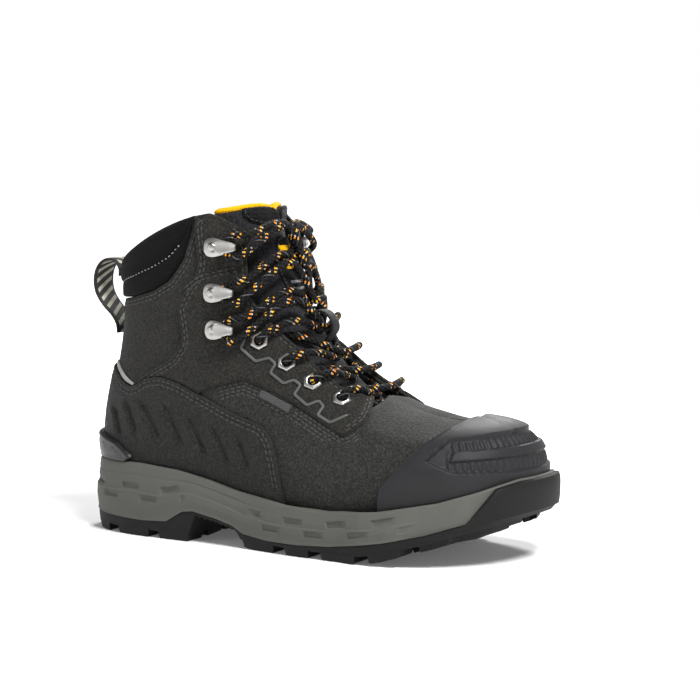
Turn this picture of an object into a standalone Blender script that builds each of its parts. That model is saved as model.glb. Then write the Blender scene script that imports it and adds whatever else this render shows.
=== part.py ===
"""Right-foot safety boot: 6-inch lace-up with steel toe, moulded toe guard and cupped midsole.

Lengths in this file are millimetres until mesh data is written, then metres. X runs heel to toe,
Y from the lateral (-) to the medial (+) side, Z up from the ground.
"""

import math

import bmesh
import bpy
import numpy as np
from mathutils import Matrix, Vector

MM = 0.001
GAP = 0.3
CENTRE_X = 150.85
CENTRE_Y = -1.5

# Layer offsets from the upper's outer face, outward positive.
LEATHER = (-2.0, 0.0)
OVERLAY = (0.3, 2.2)
WRAP = (0.3, 2.8)
GUARD = (0.3, 4.6)
STIFFENER = (-4.2, -2.3)
LINING = (-5.7, -4.5)
GUSSET = (-8.7, -8.1)
COLLAR = (-4.2, 1.4)

LACE_RADIUS = 2.2
STATIONS = 40
ROWS = 7

# Control net of the upper's outer face, lateral half, heel centre to toe centre; rows run from the
# feather edge (in the midsole's tray) up to the collar line or to the ridge over the foot. Millimetres.
LATERAL_NET = (
    ((10, 0, 38), (7, 0, 56), (11, 0, 84), (18, 0, 110), (21, 0, 138), (19, 0, 163)),
    ((15, -22, 38), (12, -26, 57), (16, -25, 84), (24, -23, 111), (28, -24, 140), (27, -25, 168)),
    ((36, -33, 38), (34, -39, 57), (38, -37, 85), (43, -34, 114), (46, -36, 146), (47, -36, 179)),
    ((62, -36, 38), (62, -43, 57), (64, -42, 86), (67, -40, 117), (70, -41, 151), (70, -41, 190)),
    ((90, -37, 37), (90, -45, 56), (91, -45, 86), (93, -43, 119), (94, -43, 155), (93, -43, 197)),
    ((116, -39, 33), (115, -47, 52), (114, -47, 82), (114, -43, 118), (114, -41, 156), (113, -36, 200)),
    ((140, -41, 28), (139, -50, 48), (136, -48, 76), (132, -41, 110), (129, -32, 153), (126, -23, 203)),
    ((162, -45, 25), (161, -53, 44), (157, -50, 70), (150, -39, 102), (142, -22, 148), (136, 0, 205)),
    ((184, -48, 23), (183, -57, 41), (179, -53, 65), (170, -40, 91), (158, -21, 126), (146, 0, 166)),
    ((206, -50, 23), (206, -59, 40), (202, -55, 61), (192, -41, 82), (177, -21, 104), (158, 0, 132)),
    ((228, -49, 25), (229, -58, 41), (226, -54, 61), (215, -40, 77), (199, -20, 90), (179, 0, 106)),
    ((250, -45, 29), (252, -53, 44), (249, -49, 63), (240, -36, 75), (225, -18, 82), (206, 0, 90)),
    ((271, -36, 34), (275, -43, 48), (271, -39, 65), (262, -28, 75), (248, -14, 79), (228, 0, 83)),
    ((287, -19, 38), (292, -24, 52), (287, -22, 67), (277, -17, 76), (262, -9, 79), (240, 0, 80)),
    ((294, 4, 40), (299, 4, 53), (294, 4, 68), (283, 3, 77), (267, 1, 80), (246, 0, 80)),
)
# Width factor and forward shift that turn each lateral station into its medial one.
MEDIAL_WIDTH = (1, 1, 1, 0.99, 0.95, 0.88, 0.84, 0.84, 0.86, 0.9, 0.95, 1.0, 1.08, 1.25, 1)
MEDIAL_SHIFT = (0, 0, 0, 0, 0, 0, 0, 0, 1, 2, 4, 6, 7, 5, 0)
LAST = len(LATERAL_NET) - 1
CORNER = 7


def control_net():
    lateral = np.array(LATERAL_NET, float)
    medial = lateral.copy()
    fade = np.array([1, 1, 1, 0.8, 0.4, 0])
    for j in range(LAST + 1):
        wide = 1 + (MEDIAL_WIDTH[j] - 1) * np.array([1, 1, 1, 0.7, 0.3, 0])
        medial[j, :, 1] *= -wide
        medial[j, :, 0] += MEDIAL_SHIFT[j] * fade
    return np.concatenate([lateral, medial[LAST - 1:0:-1]])


NET = control_net()


def periodic_weights(t):
    """Uniform cubic B-spline weights over the closed row of stations."""
    i = math.floor(t)
    f = t - i
    n = len(NET)
    w = (
        (1 - f) ** 3 / 6,
        (3 * f ** 3 - 6 * f * f + 4) / 6,
        (-3 * f ** 3 + 3 * f * f + 3 * f + 1) / 6,
        f ** 3 / 6,
    )
    return [((i + k - 1) % n, w[k]) for k in range(4)]


def clamped_weights(s, count=6):
    """Clamped cubic B-spline weights up one station."""
    spans = count - 3
    knots = [0] * 3 + list(range(spans + 1)) + [spans] * 3
    u = min(max(s, 0), 1) * spans
    k = min(int(u), spans - 1) + 3
    basis = [1.0]
    for degree in range(1, 4):
        new = [0.0] * (degree + 1)
        for j in range(degree):
            left = knots[k + j + 1 - degree]
            right = knots[k + j + 1]
            part = basis[j] / (right - left)
            new[j] += (right - u) * part
            new[j + 1] += (u - left) * part
        basis = new
    return [(k - 3 + j, basis[j]) for j in range(4)]


def surface(t, s):
    """Point of the upper at station t (0 heel, 14 toe centre, 14..28 medial) and height s in 0..1."""
    p = np.zeros(3)
    for i, a in periodic_weights(t):
        for j, b in clamped_weights(s):
            p += a * b * NET[i, j]
    n = len(NET)
    tt = t % n
    if s > 0.9999 and CORNER <= tt <= n - CORNER:
        other = np.zeros(3)
        for i, a in periodic_weights(n - tt):
            for j, b in clamped_weights(s):
                other += a * b * NET[i, j]
        p = (p + other) / 2
        p[1] = 0
    return p


# ---------------------------------------------------------------- surface helpers

def normal(t, s):
    """Outward unit normal of the upper at (t, s)."""
    e = 0.02
    low, high = max(s - e, 0), min(s + e, 1)
    across = surface(t + e, s * 0.98) - surface(t - e, s * 0.98)
    up = surface(t, high * 0.98) - surface(t, low * 0.98)
    n = np.cross(across, up)
    n /= np.linalg.norm(n)
    tt = t % len(NET)
    if s > 0.9999 and CORNER <= tt <= len(NET) - CORNER:
        other = np.cross(
            surface(-tt + e, s * 0.98) - surface(-tt - e, s * 0.98),
            surface(-tt, high * 0.98) - surface(-tt, low * 0.98),
        )
        n = n + other / np.linalg.norm(other)
        n[1] = 0
        n /= np.linalg.norm(n)
    return outward(n, surface(t, s))


def outward(n, p):
    """Flip a normal that points to the inside of the boot."""
    core = np.array([min(max(p[0], 70), 230), 0, min(p[2], 60) if p[0] > 120 else p[2]])
    return n if np.dot(n, p - core) > 0 else -n


def offset_point(t, s, d):
    return surface(t, s) + normal(t, s) * d


def locate(x, z, side=-1):
    """Station and height of the point seen at (x, z) from the side; side -1 lateral, +1 medial."""
    best = None
    span = len(NET)
    for i in range(57):
        t = i * LAST / 56
        t = t if side < 0 else span - t
        for k in range(21):
            p = surface(t, k / 20)
            d = (p[0] - x) ** 2 + (p[2] - z) ** 2
            if best is None or d < best[0]:
                best = (d, t, k / 20)
    _, t, s = best
    step = 0.12
    while step > 1e-4:
        moved = False
        for dt, ds in ((step * 2, 0), (-step * 2, 0), (0, step), (0, -step)):
            s2 = min(max(s + ds, 0), 1)
            p = surface(t + dt, s2)
            d = (p[0] - x) ** 2 + (p[2] - z) ** 2
            if d < best[0] - 1e-12:
                best = (d, t + dt, s2)
                t, s = t + dt, s2
                moved = True
                break
        if not moved:
            step /= 2
    return t, s


def catmull(points, count):
    """Evenly indexed points on a smooth curve through the route points."""
    pts = [np.array(p, float) for p in points]
    ext = [2 * pts[0] - pts[1]] + pts + [2 * pts[-1] - pts[-2]]
    out = []
    for i in range(count):
        u = i * (len(pts) - 1) / (count - 1)
        k = min(int(u), len(pts) - 2)
        f = u - k
        a, b, c, d = ext[k:k + 4]
        out.append(0.5 * (2 * b + (c - a) * f + (2 * a - 5 * b + 4 * c - d) * f * f
                          + (3 * b - a - 3 * c + d) * f ** 3))
    return out


def centripetal(points, per_span):
    """Smooth curve through route points that doesn't overshoot where they are close together."""
    pts = [np.array(p, float) for p in points]
    ext = [2 * pts[0] - pts[1]] + pts + [2 * pts[-1] - pts[-2]]
    out = []
    for k in range(len(pts) - 1):
        a, b, c, d = ext[k:k + 4]
        k0 = 0.0
        k1 = k0 + math.sqrt(np.linalg.norm(b - a))
        k2 = k1 + math.sqrt(np.linalg.norm(c - b))
        k3 = k2 + math.sqrt(np.linalg.norm(d - c))
        for i in range(per_span):
            u = k1 + (k2 - k1) * i / per_span
            p = (k1 - u) / (k1 - k0) * a + (u - k0) / (k1 - k0) * b
            q = (k2 - u) / (k2 - k1) * b + (u - k1) / (k2 - k1) * c
            r = (k3 - u) / (k3 - k2) * c + (u - k2) / (k3 - k2) * d
            v = (k2 - u) / (k2 - k0) * p + (u - k0) / (k2 - k0) * q
            w = (k3 - u) / (k3 - k1) * q + (u - k1) / (k3 - k1) * r
            out.append((k2 - u) / (k2 - k1) * v + (u - k1) / (k2 - k1) * w)
    return out + [pts[-1]]


def lean_polyline(dense, slack, longest):
    """Fewest points of a densely read curve that stay within slack of it."""
    out = [dense[0]]
    i = 0
    while i < len(dense) - 1:
        j = i + 1
        while j + 1 < len(dense):
            a, b = dense[i], dense[j + 1]
            chord = b - a
            reach = float(np.linalg.norm(chord))
            if reach > longest:
                break
            stray = [float(np.linalg.norm(np.cross(p - a, chord))) for p in dense[i + 1:j + 1]]
            if max(stray) > slack * reach:
                break
            j += 1
        out.append(dense[j])
        i = j
    return out


def profile(x, table):
    """Value at x of a table of (x, value) pairs."""
    return float(np.interp(x, [p[0] for p in table], [p[1] for p in table]))


# ---------------------------------------------------------------- object helpers

def world(p):
    return ((p[0] - CENTRE_X) * MM, (p[1] - CENTRE_Y) * MM, p[2] * MM)


def material(name, colour, roughness, metallic=0.0):
    mat = bpy.data.materials.get(name)
    if mat is None:
        mat = bpy.data.materials.new(name)
        mat.use_nodes = True
        shader = mat.node_tree.nodes["Principled BSDF"]
        shader.inputs["Base Color"].default_value = (*colour, 1)
        shader.inputs["Roughness"].default_value = roughness
        shader.inputs["Metallic"].default_value = metallic
        mat.diffuse_color = (*colour, 1)
    return mat


def finish(bm, name, mat, smooth=True):
    """Clean a bmesh given in millimetres and store it as an object in metres."""
    bmesh.ops.remove_doubles(bm, verts=bm.verts, dist=0.002)
    bmesh.ops.dissolve_degenerate(bm, edges=bm.edges, dist=0.002)
    bmesh.ops.triangulate(bm, faces=[f for f in bm.faces if len(f.verts) > 4])
    bmesh.ops.recalc_face_normals(bm, faces=bm.faces)
    for v in bm.verts:
        v.co = world(v.co)
    mesh = bpy.data.meshes.new(name)
    bm.to_mesh(mesh)
    bm.free()
    for poly in mesh.polygons:
        poly.use_smooth = smooth
    mesh.materials.append(mat)
    obj = bpy.data.objects.new(name, mesh)
    bpy.context.collection.objects.link(obj)
    return obj


def raw_object(bm, name):
    mesh = bpy.data.meshes.new(name)
    bm.to_mesh(mesh)
    bm.free()
    obj = bpy.data.objects.new(name, mesh)
    bpy.context.collection.objects.link(obj)
    return obj


def drop(obj):
    mesh = obj.data
    bpy.data.objects.remove(obj)
    bpy.data.meshes.remove(mesh)


def boolean(base, tool, operation):
    """Exact boolean of two solids; both inputs are consumed."""
    mod = base.modifiers.new("cut", "BOOLEAN")
    mod.operation = operation
    mod.solver = "EXACT"
    mod.object = tool
    bpy.context.view_layer.update()
    graph = bpy.context.evaluated_depsgraph_get()
    mesh = bpy.data.meshes.new_from_object(base.evaluated_get(graph))
    name = base.name
    drop(base)
    drop(tool)
    obj = bpy.data.objects.new(name, mesh)
    bpy.context.collection.objects.link(obj)
    return obj


def named(obj, name, mat, smooth=True):
    """Turn a millimetre working object into the finished named piece."""
    bm = bmesh.new()
    bm.from_mesh(obj.data)
    drop(obj)
    return finish(bm, name, mat, smooth)


def shell(low, high):
    """Closed solid between two offsets of the whole upper, on one shared lattice of points."""
    bm = bmesh.new()
    span = len(NET)
    grid = []
    for off in (low, high):
        layer = []
        for i in range(STATIONS):
            t = i * span / STATIONS
            column = []
            for k in range(ROWS + 1):
                s = k / ROWS
                p = surface(t, s)
                d = off(p) if callable(off) else off
                column.append(bm.verts.new(p + normal(t, s) * d))
            layer.append(column)
        grid.append(layer)
    corner = math.ceil(CORNER * STATIONS / span)
    for layer in (0, 1):
        g = grid[layer]
        for i in range(STATIONS):
            j = (i + 1) % STATIONS
            for k in range(ROWS):
                quad = (g[i][k], g[j][k], g[j][k + 1], g[i][k + 1])
                bm.faces.new(quad if layer else quad[::-1])
    for i in range(STATIONS):
        j = (i + 1) % STATIONS
        bm.faces.new((grid[0][i][0], grid[0][j][0], grid[1][j][0], grid[1][i][0]))
        open_edge = min(i, STATIONS - i) <= corner and min(j, STATIONS - j) <= corner
        if open_edge:
            bm.faces.new((grid[1][i][ROWS], grid[1][j][ROWS], grid[0][j][ROWS], grid[0][i][ROWS]))
    bmesh.ops.remove_doubles(bm, verts=bm.verts, dist=0.01)
    bmesh.ops.triangulate(bm, faces=bm.faces)
    bmesh.ops.recalc_face_normals(bm, faces=bm.faces)
    return raw_object(bm, "shell")


def prism(outline, y0=-150.0, y1=150.0):
    """Cutter: an (x, z) outline drawn out along Y."""
    bm = bmesh.new()
    near = [bm.verts.new((x, y0, z)) for x, z in outline]
    far = [bm.verts.new((x, y1, z)) for x, z in outline]
    n = len(outline)
    for i in range(n):
        j = (i + 1) % n
        bm.faces.new((near[i], near[j], far[j], far[i]))
    bm.faces.new(near[::-1])
    bm.faces.new(far)
    bmesh.ops.recalc_face_normals(bm, faces=bm.faces)
    return raw_object(bm, "prism")


def throat_tool():
    """Cutter that opens the upper along the instep."""
    pairs = list(THROAT) + [(-y, w) for y, w in THROAT[:0:-1]]
    bm = bmesh.new()
    half = math.sqrt(0.5)
    loops = []
    for depth in (165, 330):
        loops.append([bm.verts.new(((depth - w) * half, y, (depth + w) * half)) for y, w in pairs])
    n = len(pairs)
    for i in range(n):
        j = (i + 1) % n
        bm.faces.new((loops[0][i], loops[0][j], loops[1][j], loops[1][i]))
    bm.faces.new(loops[0][::-1])
    bm.faces.new(loops[1])
    bmesh.ops.recalc_face_normals(bm, faces=bm.faces)
    return raw_object(bm, "throat")


def panel(layer, outline, y0=-150.0, y1=150.0):
    return boolean(shell(*layer), prism(outline, y0, y1), "INTERSECT")


def frame_at(t, s):
    """Axes on the upper: forward along it, up the station, outward."""
    e = 0.02
    out = normal(t, s)
    up = surface(t, min(s + e, 1)) - surface(t, max(s - e, 0))
    up -= out * np.dot(up, out)
    up /= np.linalg.norm(up)
    forward = np.cross(up, out)
    if forward[0] < 0:
        forward = -forward
    return forward, up, out


# ---------------------------------------------------------------- outlines seen from the side (x, z)

HOOK_REAR_SEAM = (
    (97, 203), (95, 190), (98, 168), (96, 160), (88, 150), (83, 141), (86, 129), (87, 121), (80, 111),
    (57, 99), (47, 92),
)
WRAP_TOP = (
    (47, 92), (58, 97), (71, 99), (85, 96), (99, 90.5), (126, 80), (147, 74), (154, 67), (159, 53),
    (163, 20),
)
QUARTER_FOOT = (
    (99, 92), (112, 96), (130, 101), (142, 97), (165, 88), (186, 78), (202, 71), (212, 80), (211, 92),
)
# Edge of the lacing opening, seen square on to the instep: (y, distance up the instep), lateral half.
THROAT = (
    (0, -80.5), (-14, -80), (-20.5, -77), (-24.5, -69), (-26, -50), (-27, -29), (-29.5, -8), (-33, 14),
    (-30.5, 34), (-28, 46), (-26, 90),
)
TOP_LINE = ((133, 190), (124, 195), (112, 199), (97, 203))
COLLAR_FOOT = (
    (-20, 143), (26, 144), (45, 146.5), (62, 151), (76, 158), (86, 170), (92, 187), (94, 215),
)
GUARD_REAR = (
    (226, 10), (227, 33), (229, 45), (237, 54), (243, 61), (253, 70), (263, 78), (270, 88), (272, 130),
)
TONGUE_REAR = (
    (98, 225), (104, 190), (112, 176), (114, 150), (120, 132), (143, 112), (172, 95), (198, 82),
    (224, 70),
)


# ---------------------------------------------------------------- upper panels

def half_space(side, clear):
    """Y limits of the lateral (-1) or medial (+1) half, clear of the middle plane."""
    return (-150, -clear) if side < 0 else (clear, 150)


def nubuck():
    return material("nubuck", (0.035, 0.034, 0.03), 0.75)


def hook_steel():
    return material("hook_steel", (0.78, 0.78, 0.76), 0.25, 1.0)


def make_quarter(side, name):
    outline = [(-20, 10), (-20, COLLAR_FOOT[0][1] - GAP)]
    outline += [(x + GAP * 0.7, z - GAP * 0.7) for x, z in COLLAR_FOOT[1:-1]]
    outline += [(94.5, 201), (112, 198), (124, 194), (133, 189), (160, 189), (204, 130)]
    outline += [(204, 84), (192, 82.5), (166, 96), (142, 107), (130, 109), (100.3, 101), (100.3, 10)]
    solid = panel(LEATHER, outline, *half_space(side, GAP / 2))
    obj = boolean(solid, throat_tool(), "DIFFERENCE")
    for t, s in eyelet_places(side):
        obj = boolean(obj, bore(t, s, 3.4), "DIFFERENCE")
    return named(obj, name, nubuck())


def make_vamp():
    outline = [(100.6, 10), (100.6, 100.7), (130, 108.6), (142, 106.6), (166, 95.6), (192, 82.1)]
    outline += [(204.4, 83.6), (204.6, 97), (205, 130), (340, 130), (340, 10)]
    obj = boolean(panel(LEATHER, outline), throat_tool(), "DIFFERENCE")
    return named(obj, "vamp", material("vamp_leather", (0.045, 0.045, 0.042), 0.7))


def make_eyestay(side, name):
    seam = [(x + 0.2, z + 0.2) for x, z in HOOK_REAR_SEAM]
    wrap = [(x, z + 0.35) for x, z in WRAP_TOP[1:5]]
    outline = seam + wrap + list(QUARTER_FOOT) + [(212, 120), (165, 190)] + list(TOP_LINE[:-1])
    obj = boolean(panel(OVERLAY, outline, *half_space(side, 1)), throat_tool(), "DIFFERENCE")
    for t, s in eyelet_places(side):
        obj = boolean(obj, bore(t, s, 3.4), "DIFFERENCE")
    return named(obj, name, nubuck())


def make_heel_wrap():
    outline = [(-20, 10), (-20, 104), (10, 104), (24, 102), (37, 93), (46, 90.5)]
    outline += list(WRAP_TOP[1:]) + [(163, 10)]
    obj = panel(WRAP, outline)
    return named(obj, "fluted_heel_wrap", material("wrap_leather", (0.03, 0.03, 0.028), 0.6))


def make_backstay():
    outline = [(-20, 104.6), (10, 104.6), (30, 101), (60, 101), (60, 142), (-20, 142)]
    obj = panel(OVERLAY, outline, -13, 13)
    return named(obj, "backstay", nubuck())


def make_collar():
    outline = [(x - GAP * 0.3, z + GAP * 0.3) for x, z in COLLAR_FOOT]
    outline += [(94, 260), (-20, 260)]
    obj = panel(COLLAR, outline)
    return named(obj, "padded_collar", material("collar_textile", (0.02, 0.02, 0.02), 0.95))


def make_guard():
    outline = list(GUARD_REAR) + [(340, 130), (340, 10)]
    obj = panel(GUARD, outline)
    recess = panel((3.1, 9.0), [(255, 59.5), (263, 69.5), (300, 73.5), (330, 74), (330, 54), (268, 54)])
    obj = boolean(obj, recess, "DIFFERENCE")
    bar = panel((2.0, 5.6), [(266, 59), (266, 64.5), (300, 67), (330, 67), (330, 61.5), (300, 61.5)])
    obj = boolean(obj, bar, "UNION")
    return named(obj, "toe_guard", material("guard_rubber", (0.04, 0.04, 0.042), 0.55))


def make_toe_cap():
    outline = [(252, 37), (250, 60), (246, 100), (340, 100), (340, 37)]
    obj = panel(STIFFENER, outline)
    return named(obj, "steel_toe_cap", material("cap_steel", (0.5, 0.5, 0.52), 0.4, 1.0))


def make_counter():
    outline = [(-20, 43), (-20, 98), (30, 98), (60, 90), (84, 70), (88, 43)]
    obj = panel(STIFFENER, outline)
    return named(obj, "heel_counter", material("counter_board", (0.3, 0.26, 0.2), 0.8))


def make_lining():
    front = [(x - 2.5, z - 2.5) for x, z in TONGUE_REAR]
    outline = [(-20, 10), (-20, 240)] + front + [(226, 69), (232, 130), (340, 130), (340, 10)]
    obj = panel(LINING, outline)
    return named(obj, "lining", material("lining_mesh", (0.05, 0.05, 0.055), 0.95))


def tongue_top(p):
    """Depth of the tongue's face under the upper; it comes up to the eyestay edge near the top."""
    return -9.1 + 3.0 * float(np.interp(p[2], (192, 206), (0, 1)))


def tongue_layer(low, high):
    """Shell between two offsets from the tongue's face."""
    return shell(lambda p: tongue_top(p) + low, lambda p: tongue_top(p) + high)


def make_tongue():
    outline = list(TONGUE_REAR) + [(232, 72), (232, 140), (170, 240), (98, 240)]
    solid = boolean(tongue_layer(-5.0, 0), prism(outline), "INTERSECT")
    return named(solid, "tongue", material("tongue_fabric", (0.04, 0.038, 0.042), 0.85))


def make_tongue_lining():
    outline = [(x + 1.5, z + 1.5) for x, z in TONGUE_REAR[:-1]]
    outline += [(220, 76), (220, 140), (170, 240), (98, 240)]
    solid = boolean(tongue_layer(-6.5, -5.3), prism(outline), "INTERSECT")
    return named(solid, "tongue_lining", material("yellow_lining", (0.93, 0.55, 0.02), 0.9))


def make_gusset(side, name):
    outline = [(114.5, 150), (120, 132.5), (141, 111), (170, 94.5), (196, 82), (206, 84)]
    outline += [(206, 92), (182, 104), (156, 117), (134, 134), (127, 150)]
    obj = panel(GUSSET, outline, *half_space(side, 16))
    return named(obj, name, material("gusset_leather", (0.03, 0.03, 0.03), 0.85))


# ---------------------------------------------------------------- hardware

EYELETS = ((137, 123), (155, 110.5), (172, 99.5), (190.5, 90))
HOOKS = ((114, 129), (112, 151), (111, 178))


def eyelet_places(side):
    return [locate(x, z, side) for x, z in EYELETS]


def bore(t, s, radius):
    """Round cutter through all layers at one place of the upper."""
    return pin(surface(t, s), normal(t, s), radius, -5.0, 6.0, 10)


def pin(centre, axis, radius, low, high, sides):
    bm = bmesh.new()
    axis = np.array(axis)
    turn = Vector(axis).to_track_quat("Z", "Y").to_matrix()
    rings = []
    for h in (low, high):
        ring = []
        for i in range(sides):
            a = 2 * math.pi * i / sides
            p = Vector(centre) + turn @ Vector((radius * math.cos(a), radius * math.sin(a), h))
            ring.append(bm.verts.new(p))
        rings.append(ring)
    for i in range(sides):
        j = (i + 1) % sides
        bm.faces.new((rings[0][i], rings[0][j], rings[1][j], rings[1][i]))
    bm.faces.new(rings[0][::-1])
    bm.faces.new(rings[1])
    return raw_object(bm, "pin")


def hex_radius(angle, flat):
    """Distance from the centre to the edge of a hexagon with the given half width over flats."""
    a = (angle + math.pi / 6) % (math.pi / 3) - math.pi / 6
    return flat / math.cos(a)


def make_eyelet(side, number, name):
    t, s = eyelet_places(side)[number]
    forward, up, out = frame_at(t, s)
    centre = surface(t, s)
    sides = 12
    levels = ((5.1, 2.5), (4.7, 3.6), (3.3, 3.8), (2.75, 3.2), (2.75, -2.3), (3.1, -2.3), (3.1, 2.5))
    bm = bmesh.new()
    rings = []
    for index, (r, h) in enumerate(levels):
        ring = []
        for i in range(sides):
            a = 2 * math.pi * i / sides
            radius = hex_radius(a, r) if index < 2 else r
            p = centre + forward * radius * math.cos(a) + up * radius * math.sin(a) + out * h
            ring.append(bm.verts.new(p))
        rings.append(ring)
    for a, b in zip(rings, rings[1:] + rings[:1]):
        for i in range(sides):
            j = (i + 1) % sides
            bm.faces.new((a[i], a[j], b[j], b[i]))
    return finish(bm, name, material("eyelet_steel", (0.75, 0.75, 0.73), 0.25, 1.0))


def make_hook(side, number, name):
    """Sheet-metal speed hook: a plate on the leather whose front end turns out and back over it.

    The spine holds (forward, outward, half width) down the sheet's middle.
    """
    t, s = locate(*HOOKS[number], side)
    forward, up, out = frame_at(t, s)
    centre = surface(t, s) + out * 2.7
    spine = (
        (-9.5, 0.5, 2.4), (-8, 0.5, 4.6), (-4.5, 0.5, 6.2), (0, 0.5, 5.6), (4, 0.5, 4.4), (7, 1.2, 3.6),
        (9.0, 3.6, 3.3), (8.6, 6.0, 3.2), (6.0, 7.4, 3.2), (2.0, 7.5, 3.0), (-1.0, 7.2, 2.4),
    )
    half = 0.5
    bm = bmesh.new()
    loops = []
    for i, (x, h, w) in enumerate(spine):
        a = spine[max(i - 1, 0)]
        b = spine[min(i + 1, len(spine) - 1)]
        d = math.hypot(b[0] - a[0], b[1] - a[1])
        nx, nh = -(b[1] - a[1]) / d, (b[0] - a[0]) / d
        loop = []
        for k, y in ((half, -w), (half, w), (-half, w), (-half, -w)):
            p = centre + forward * (x + nx * k) + out * (h + nh * k) + up * y
            loop.append(bm.verts.new(p))
        loops.append(loop)
    for a, b in zip(loops, loops[1:]):
        for i in range(4):
            j = (i + 1) % 4
            bm.faces.new((a[i], a[j], b[j], b[i]))
    bm.faces.new(loops[0][::-1])
    bm.faces.new(loops[-1])
    return finish(bm, name, hook_steel())


def make_hook_rivet(side, number, name):
    t, s = locate(*HOOKS[number], side)
    forward, up, out = frame_at(t, s)
    centre = surface(t, s) + out * 2.7 - forward * 4.5
    bm = bmesh.new()
    rings = []
    sides = 10
    for r, h in ((3.1, 1.35), (2.8, 2.4), (1.4, 3.1)):
        ring = []
        for i in range(sides):
            a = 2 * math.pi * i / sides
            ring.append(bm.verts.new(centre + forward * r * math.cos(a) + up * r * math.sin(a) + out * h))
        rings.append(ring)
    for a, b in zip(rings, rings[1:]):
        for i in range(sides):
            j = (i + 1) % sides
            bm.faces.new((a[i], a[j], b[j], b[i]))
    bm.faces.new(rings[0][::-1])
    bm.faces.new(rings[-1])
    return finish(bm, name, hook_steel())


# ---------------------------------------------------------------- sole

# Heights along the sole, and how far its wall stands outside the upper: (x, value).
MIDSOLE_FOOT = (
    (-5, 13), (3, 13), (22, 11), (58, 10), (76, 11), (88, 18), (96, 19), (114, 16), (126, 13), (134, 9),
    (152, 7), (174, 7), (198, 8.5), (231, 13.5), (256, 19), (274, 25), (290, 30), (310, 34),
)
MIDSOLE_TOP = (
    (-5, 45), (55, 45), (83, 43), (106, 39), (128, 34), (164, 29.5), (194, 28.5), (229, 31.5), (263, 38),
    (282, 44), (297, 50), (310, 51),
)
GROUND_LINE = (
    (-5, 5), (6, 1), (14, 0), (92, 0), (97, 12), (113, 14.5), (124, 11), (131, 1), (140, 0), (212, 0),
    (230, 2.5), (246, 7), (277, 16), (299, 23), (310, 26),
)
BUMPER_TOP = ((270, 24), (277, 26.5), (283, 36), (289, 46), (297, 49), (310, 50))
ARCH = (93, 132)
LUG_GAP = 1.6
TRAY_WALL = ((-5, 3.6), (172, 3.6), (186, 0.7), (204, 0.7), (218, 5.4), (310, 5.4))
BED_EDGE = -6.6
RIM_FACE = ((-5, 6.2), (172, 6.2), (186, 5.4), (204, 5.4), (218, 7.8), (310, 7.8))


def outline_normal(t):
    a, b = surface(t - 0.05, 0), surface(t + 0.05, 0)
    d = b - a
    n = np.array([d[1], -d[0], 0])
    n /= np.linalg.norm(n)
    c = surface(t, 0) - np.array([150, 0, 0])
    return n if np.dot(n[:2], c[:2]) > 0 or abs(c[0]) < 100 and n[1] * c[1] > 0 else -n


def rim_point(t):
    """Point of the upper's face level with the midsole's top edge."""
    low, high = 0.0, 0.5
    for _ in range(24):
        mid = (low + high) / 2
        p = surface(t, mid)
        if p[2] < profile(p[0], MIDSOLE_TOP):
            low = mid
        else:
            high = mid
    return surface(t, low)


def sole_point(t, flare, z):
    """Point beside the upper, flare millimetres outside its face at the midsole's top edge."""
    p = rim_point(t) + outline_normal(t) * flare
    return np.array([p[0], p[1], z])


def feather_point(t, flare, z):
    """Point flare millimetres outside the upper's lower edge."""
    p = surface(t, 0) + outline_normal(t) * flare
    return np.array([p[0], p[1], z])


def sole_x(t, flare=6.0):
    return sole_point(t, flare, 0)[0]


def stations():
    return [i * len(NET) / STATIONS for i in range(STATIONS)]


def stitch_rings(bm, rings):
    for a, b in zip(rings, rings[1:]):
        n = len(a)
        for i in range(n):
            j = (i + 1) % n
            bm.faces.new((a[i], a[j], b[j], b[i]))


def cross_strips(bm, ring, columns=1, height=None):
    """Close a ring of stations with strips from the lateral to the medial side."""
    n = len(ring)
    half = n // 2
    rows = [[ring[0]]]
    for i in range(1, half):
        a, b = ring[i], ring[n - i]
        row = [a]
        for c in range(1, columns):
            co = a.co.lerp(b.co, c / columns)
            if height:
                co.z = height(co.x)
            row.append(bm.verts.new(co))
        rows.append(row + [b])
    rows.append([ring[half]])
    faces = []
    for a, b in zip(rows, rows[1:]):
        if len(a) == 1 or len(b) == 1:
            single, many = (a, b) if len(a) == 1 else (b, a)
            for c in range(len(many) - 1):
                bm.faces.new((single[0], many[c], many[c + 1]))
        else:
            for c in range(len(a) - 1):
                faces.append(bm.faces.new((a[c], a[c + 1], b[c + 1], b[c])))
    return faces


def feather_height(t):
    return surface(t, 0)[2]


def inner_ring(bm, flare, lift):
    """Ring that follows the upper's lower edge, lifted by a fixed amount."""
    return [bm.verts.new(feather_point(t, flare, feather_height(t) + lift)) for t in stations()]


def bumper(x):
    """0 behind the toe bumper, 1 where it has its full height."""
    return float(np.interp(x, (277, 289), (0, 1)))


def flush(x):
    """0 on the open midsole wall, 1 where the wall stands behind the toe bumper."""
    return float(np.interp(x, (236, 254), (0, 1)))


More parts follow.
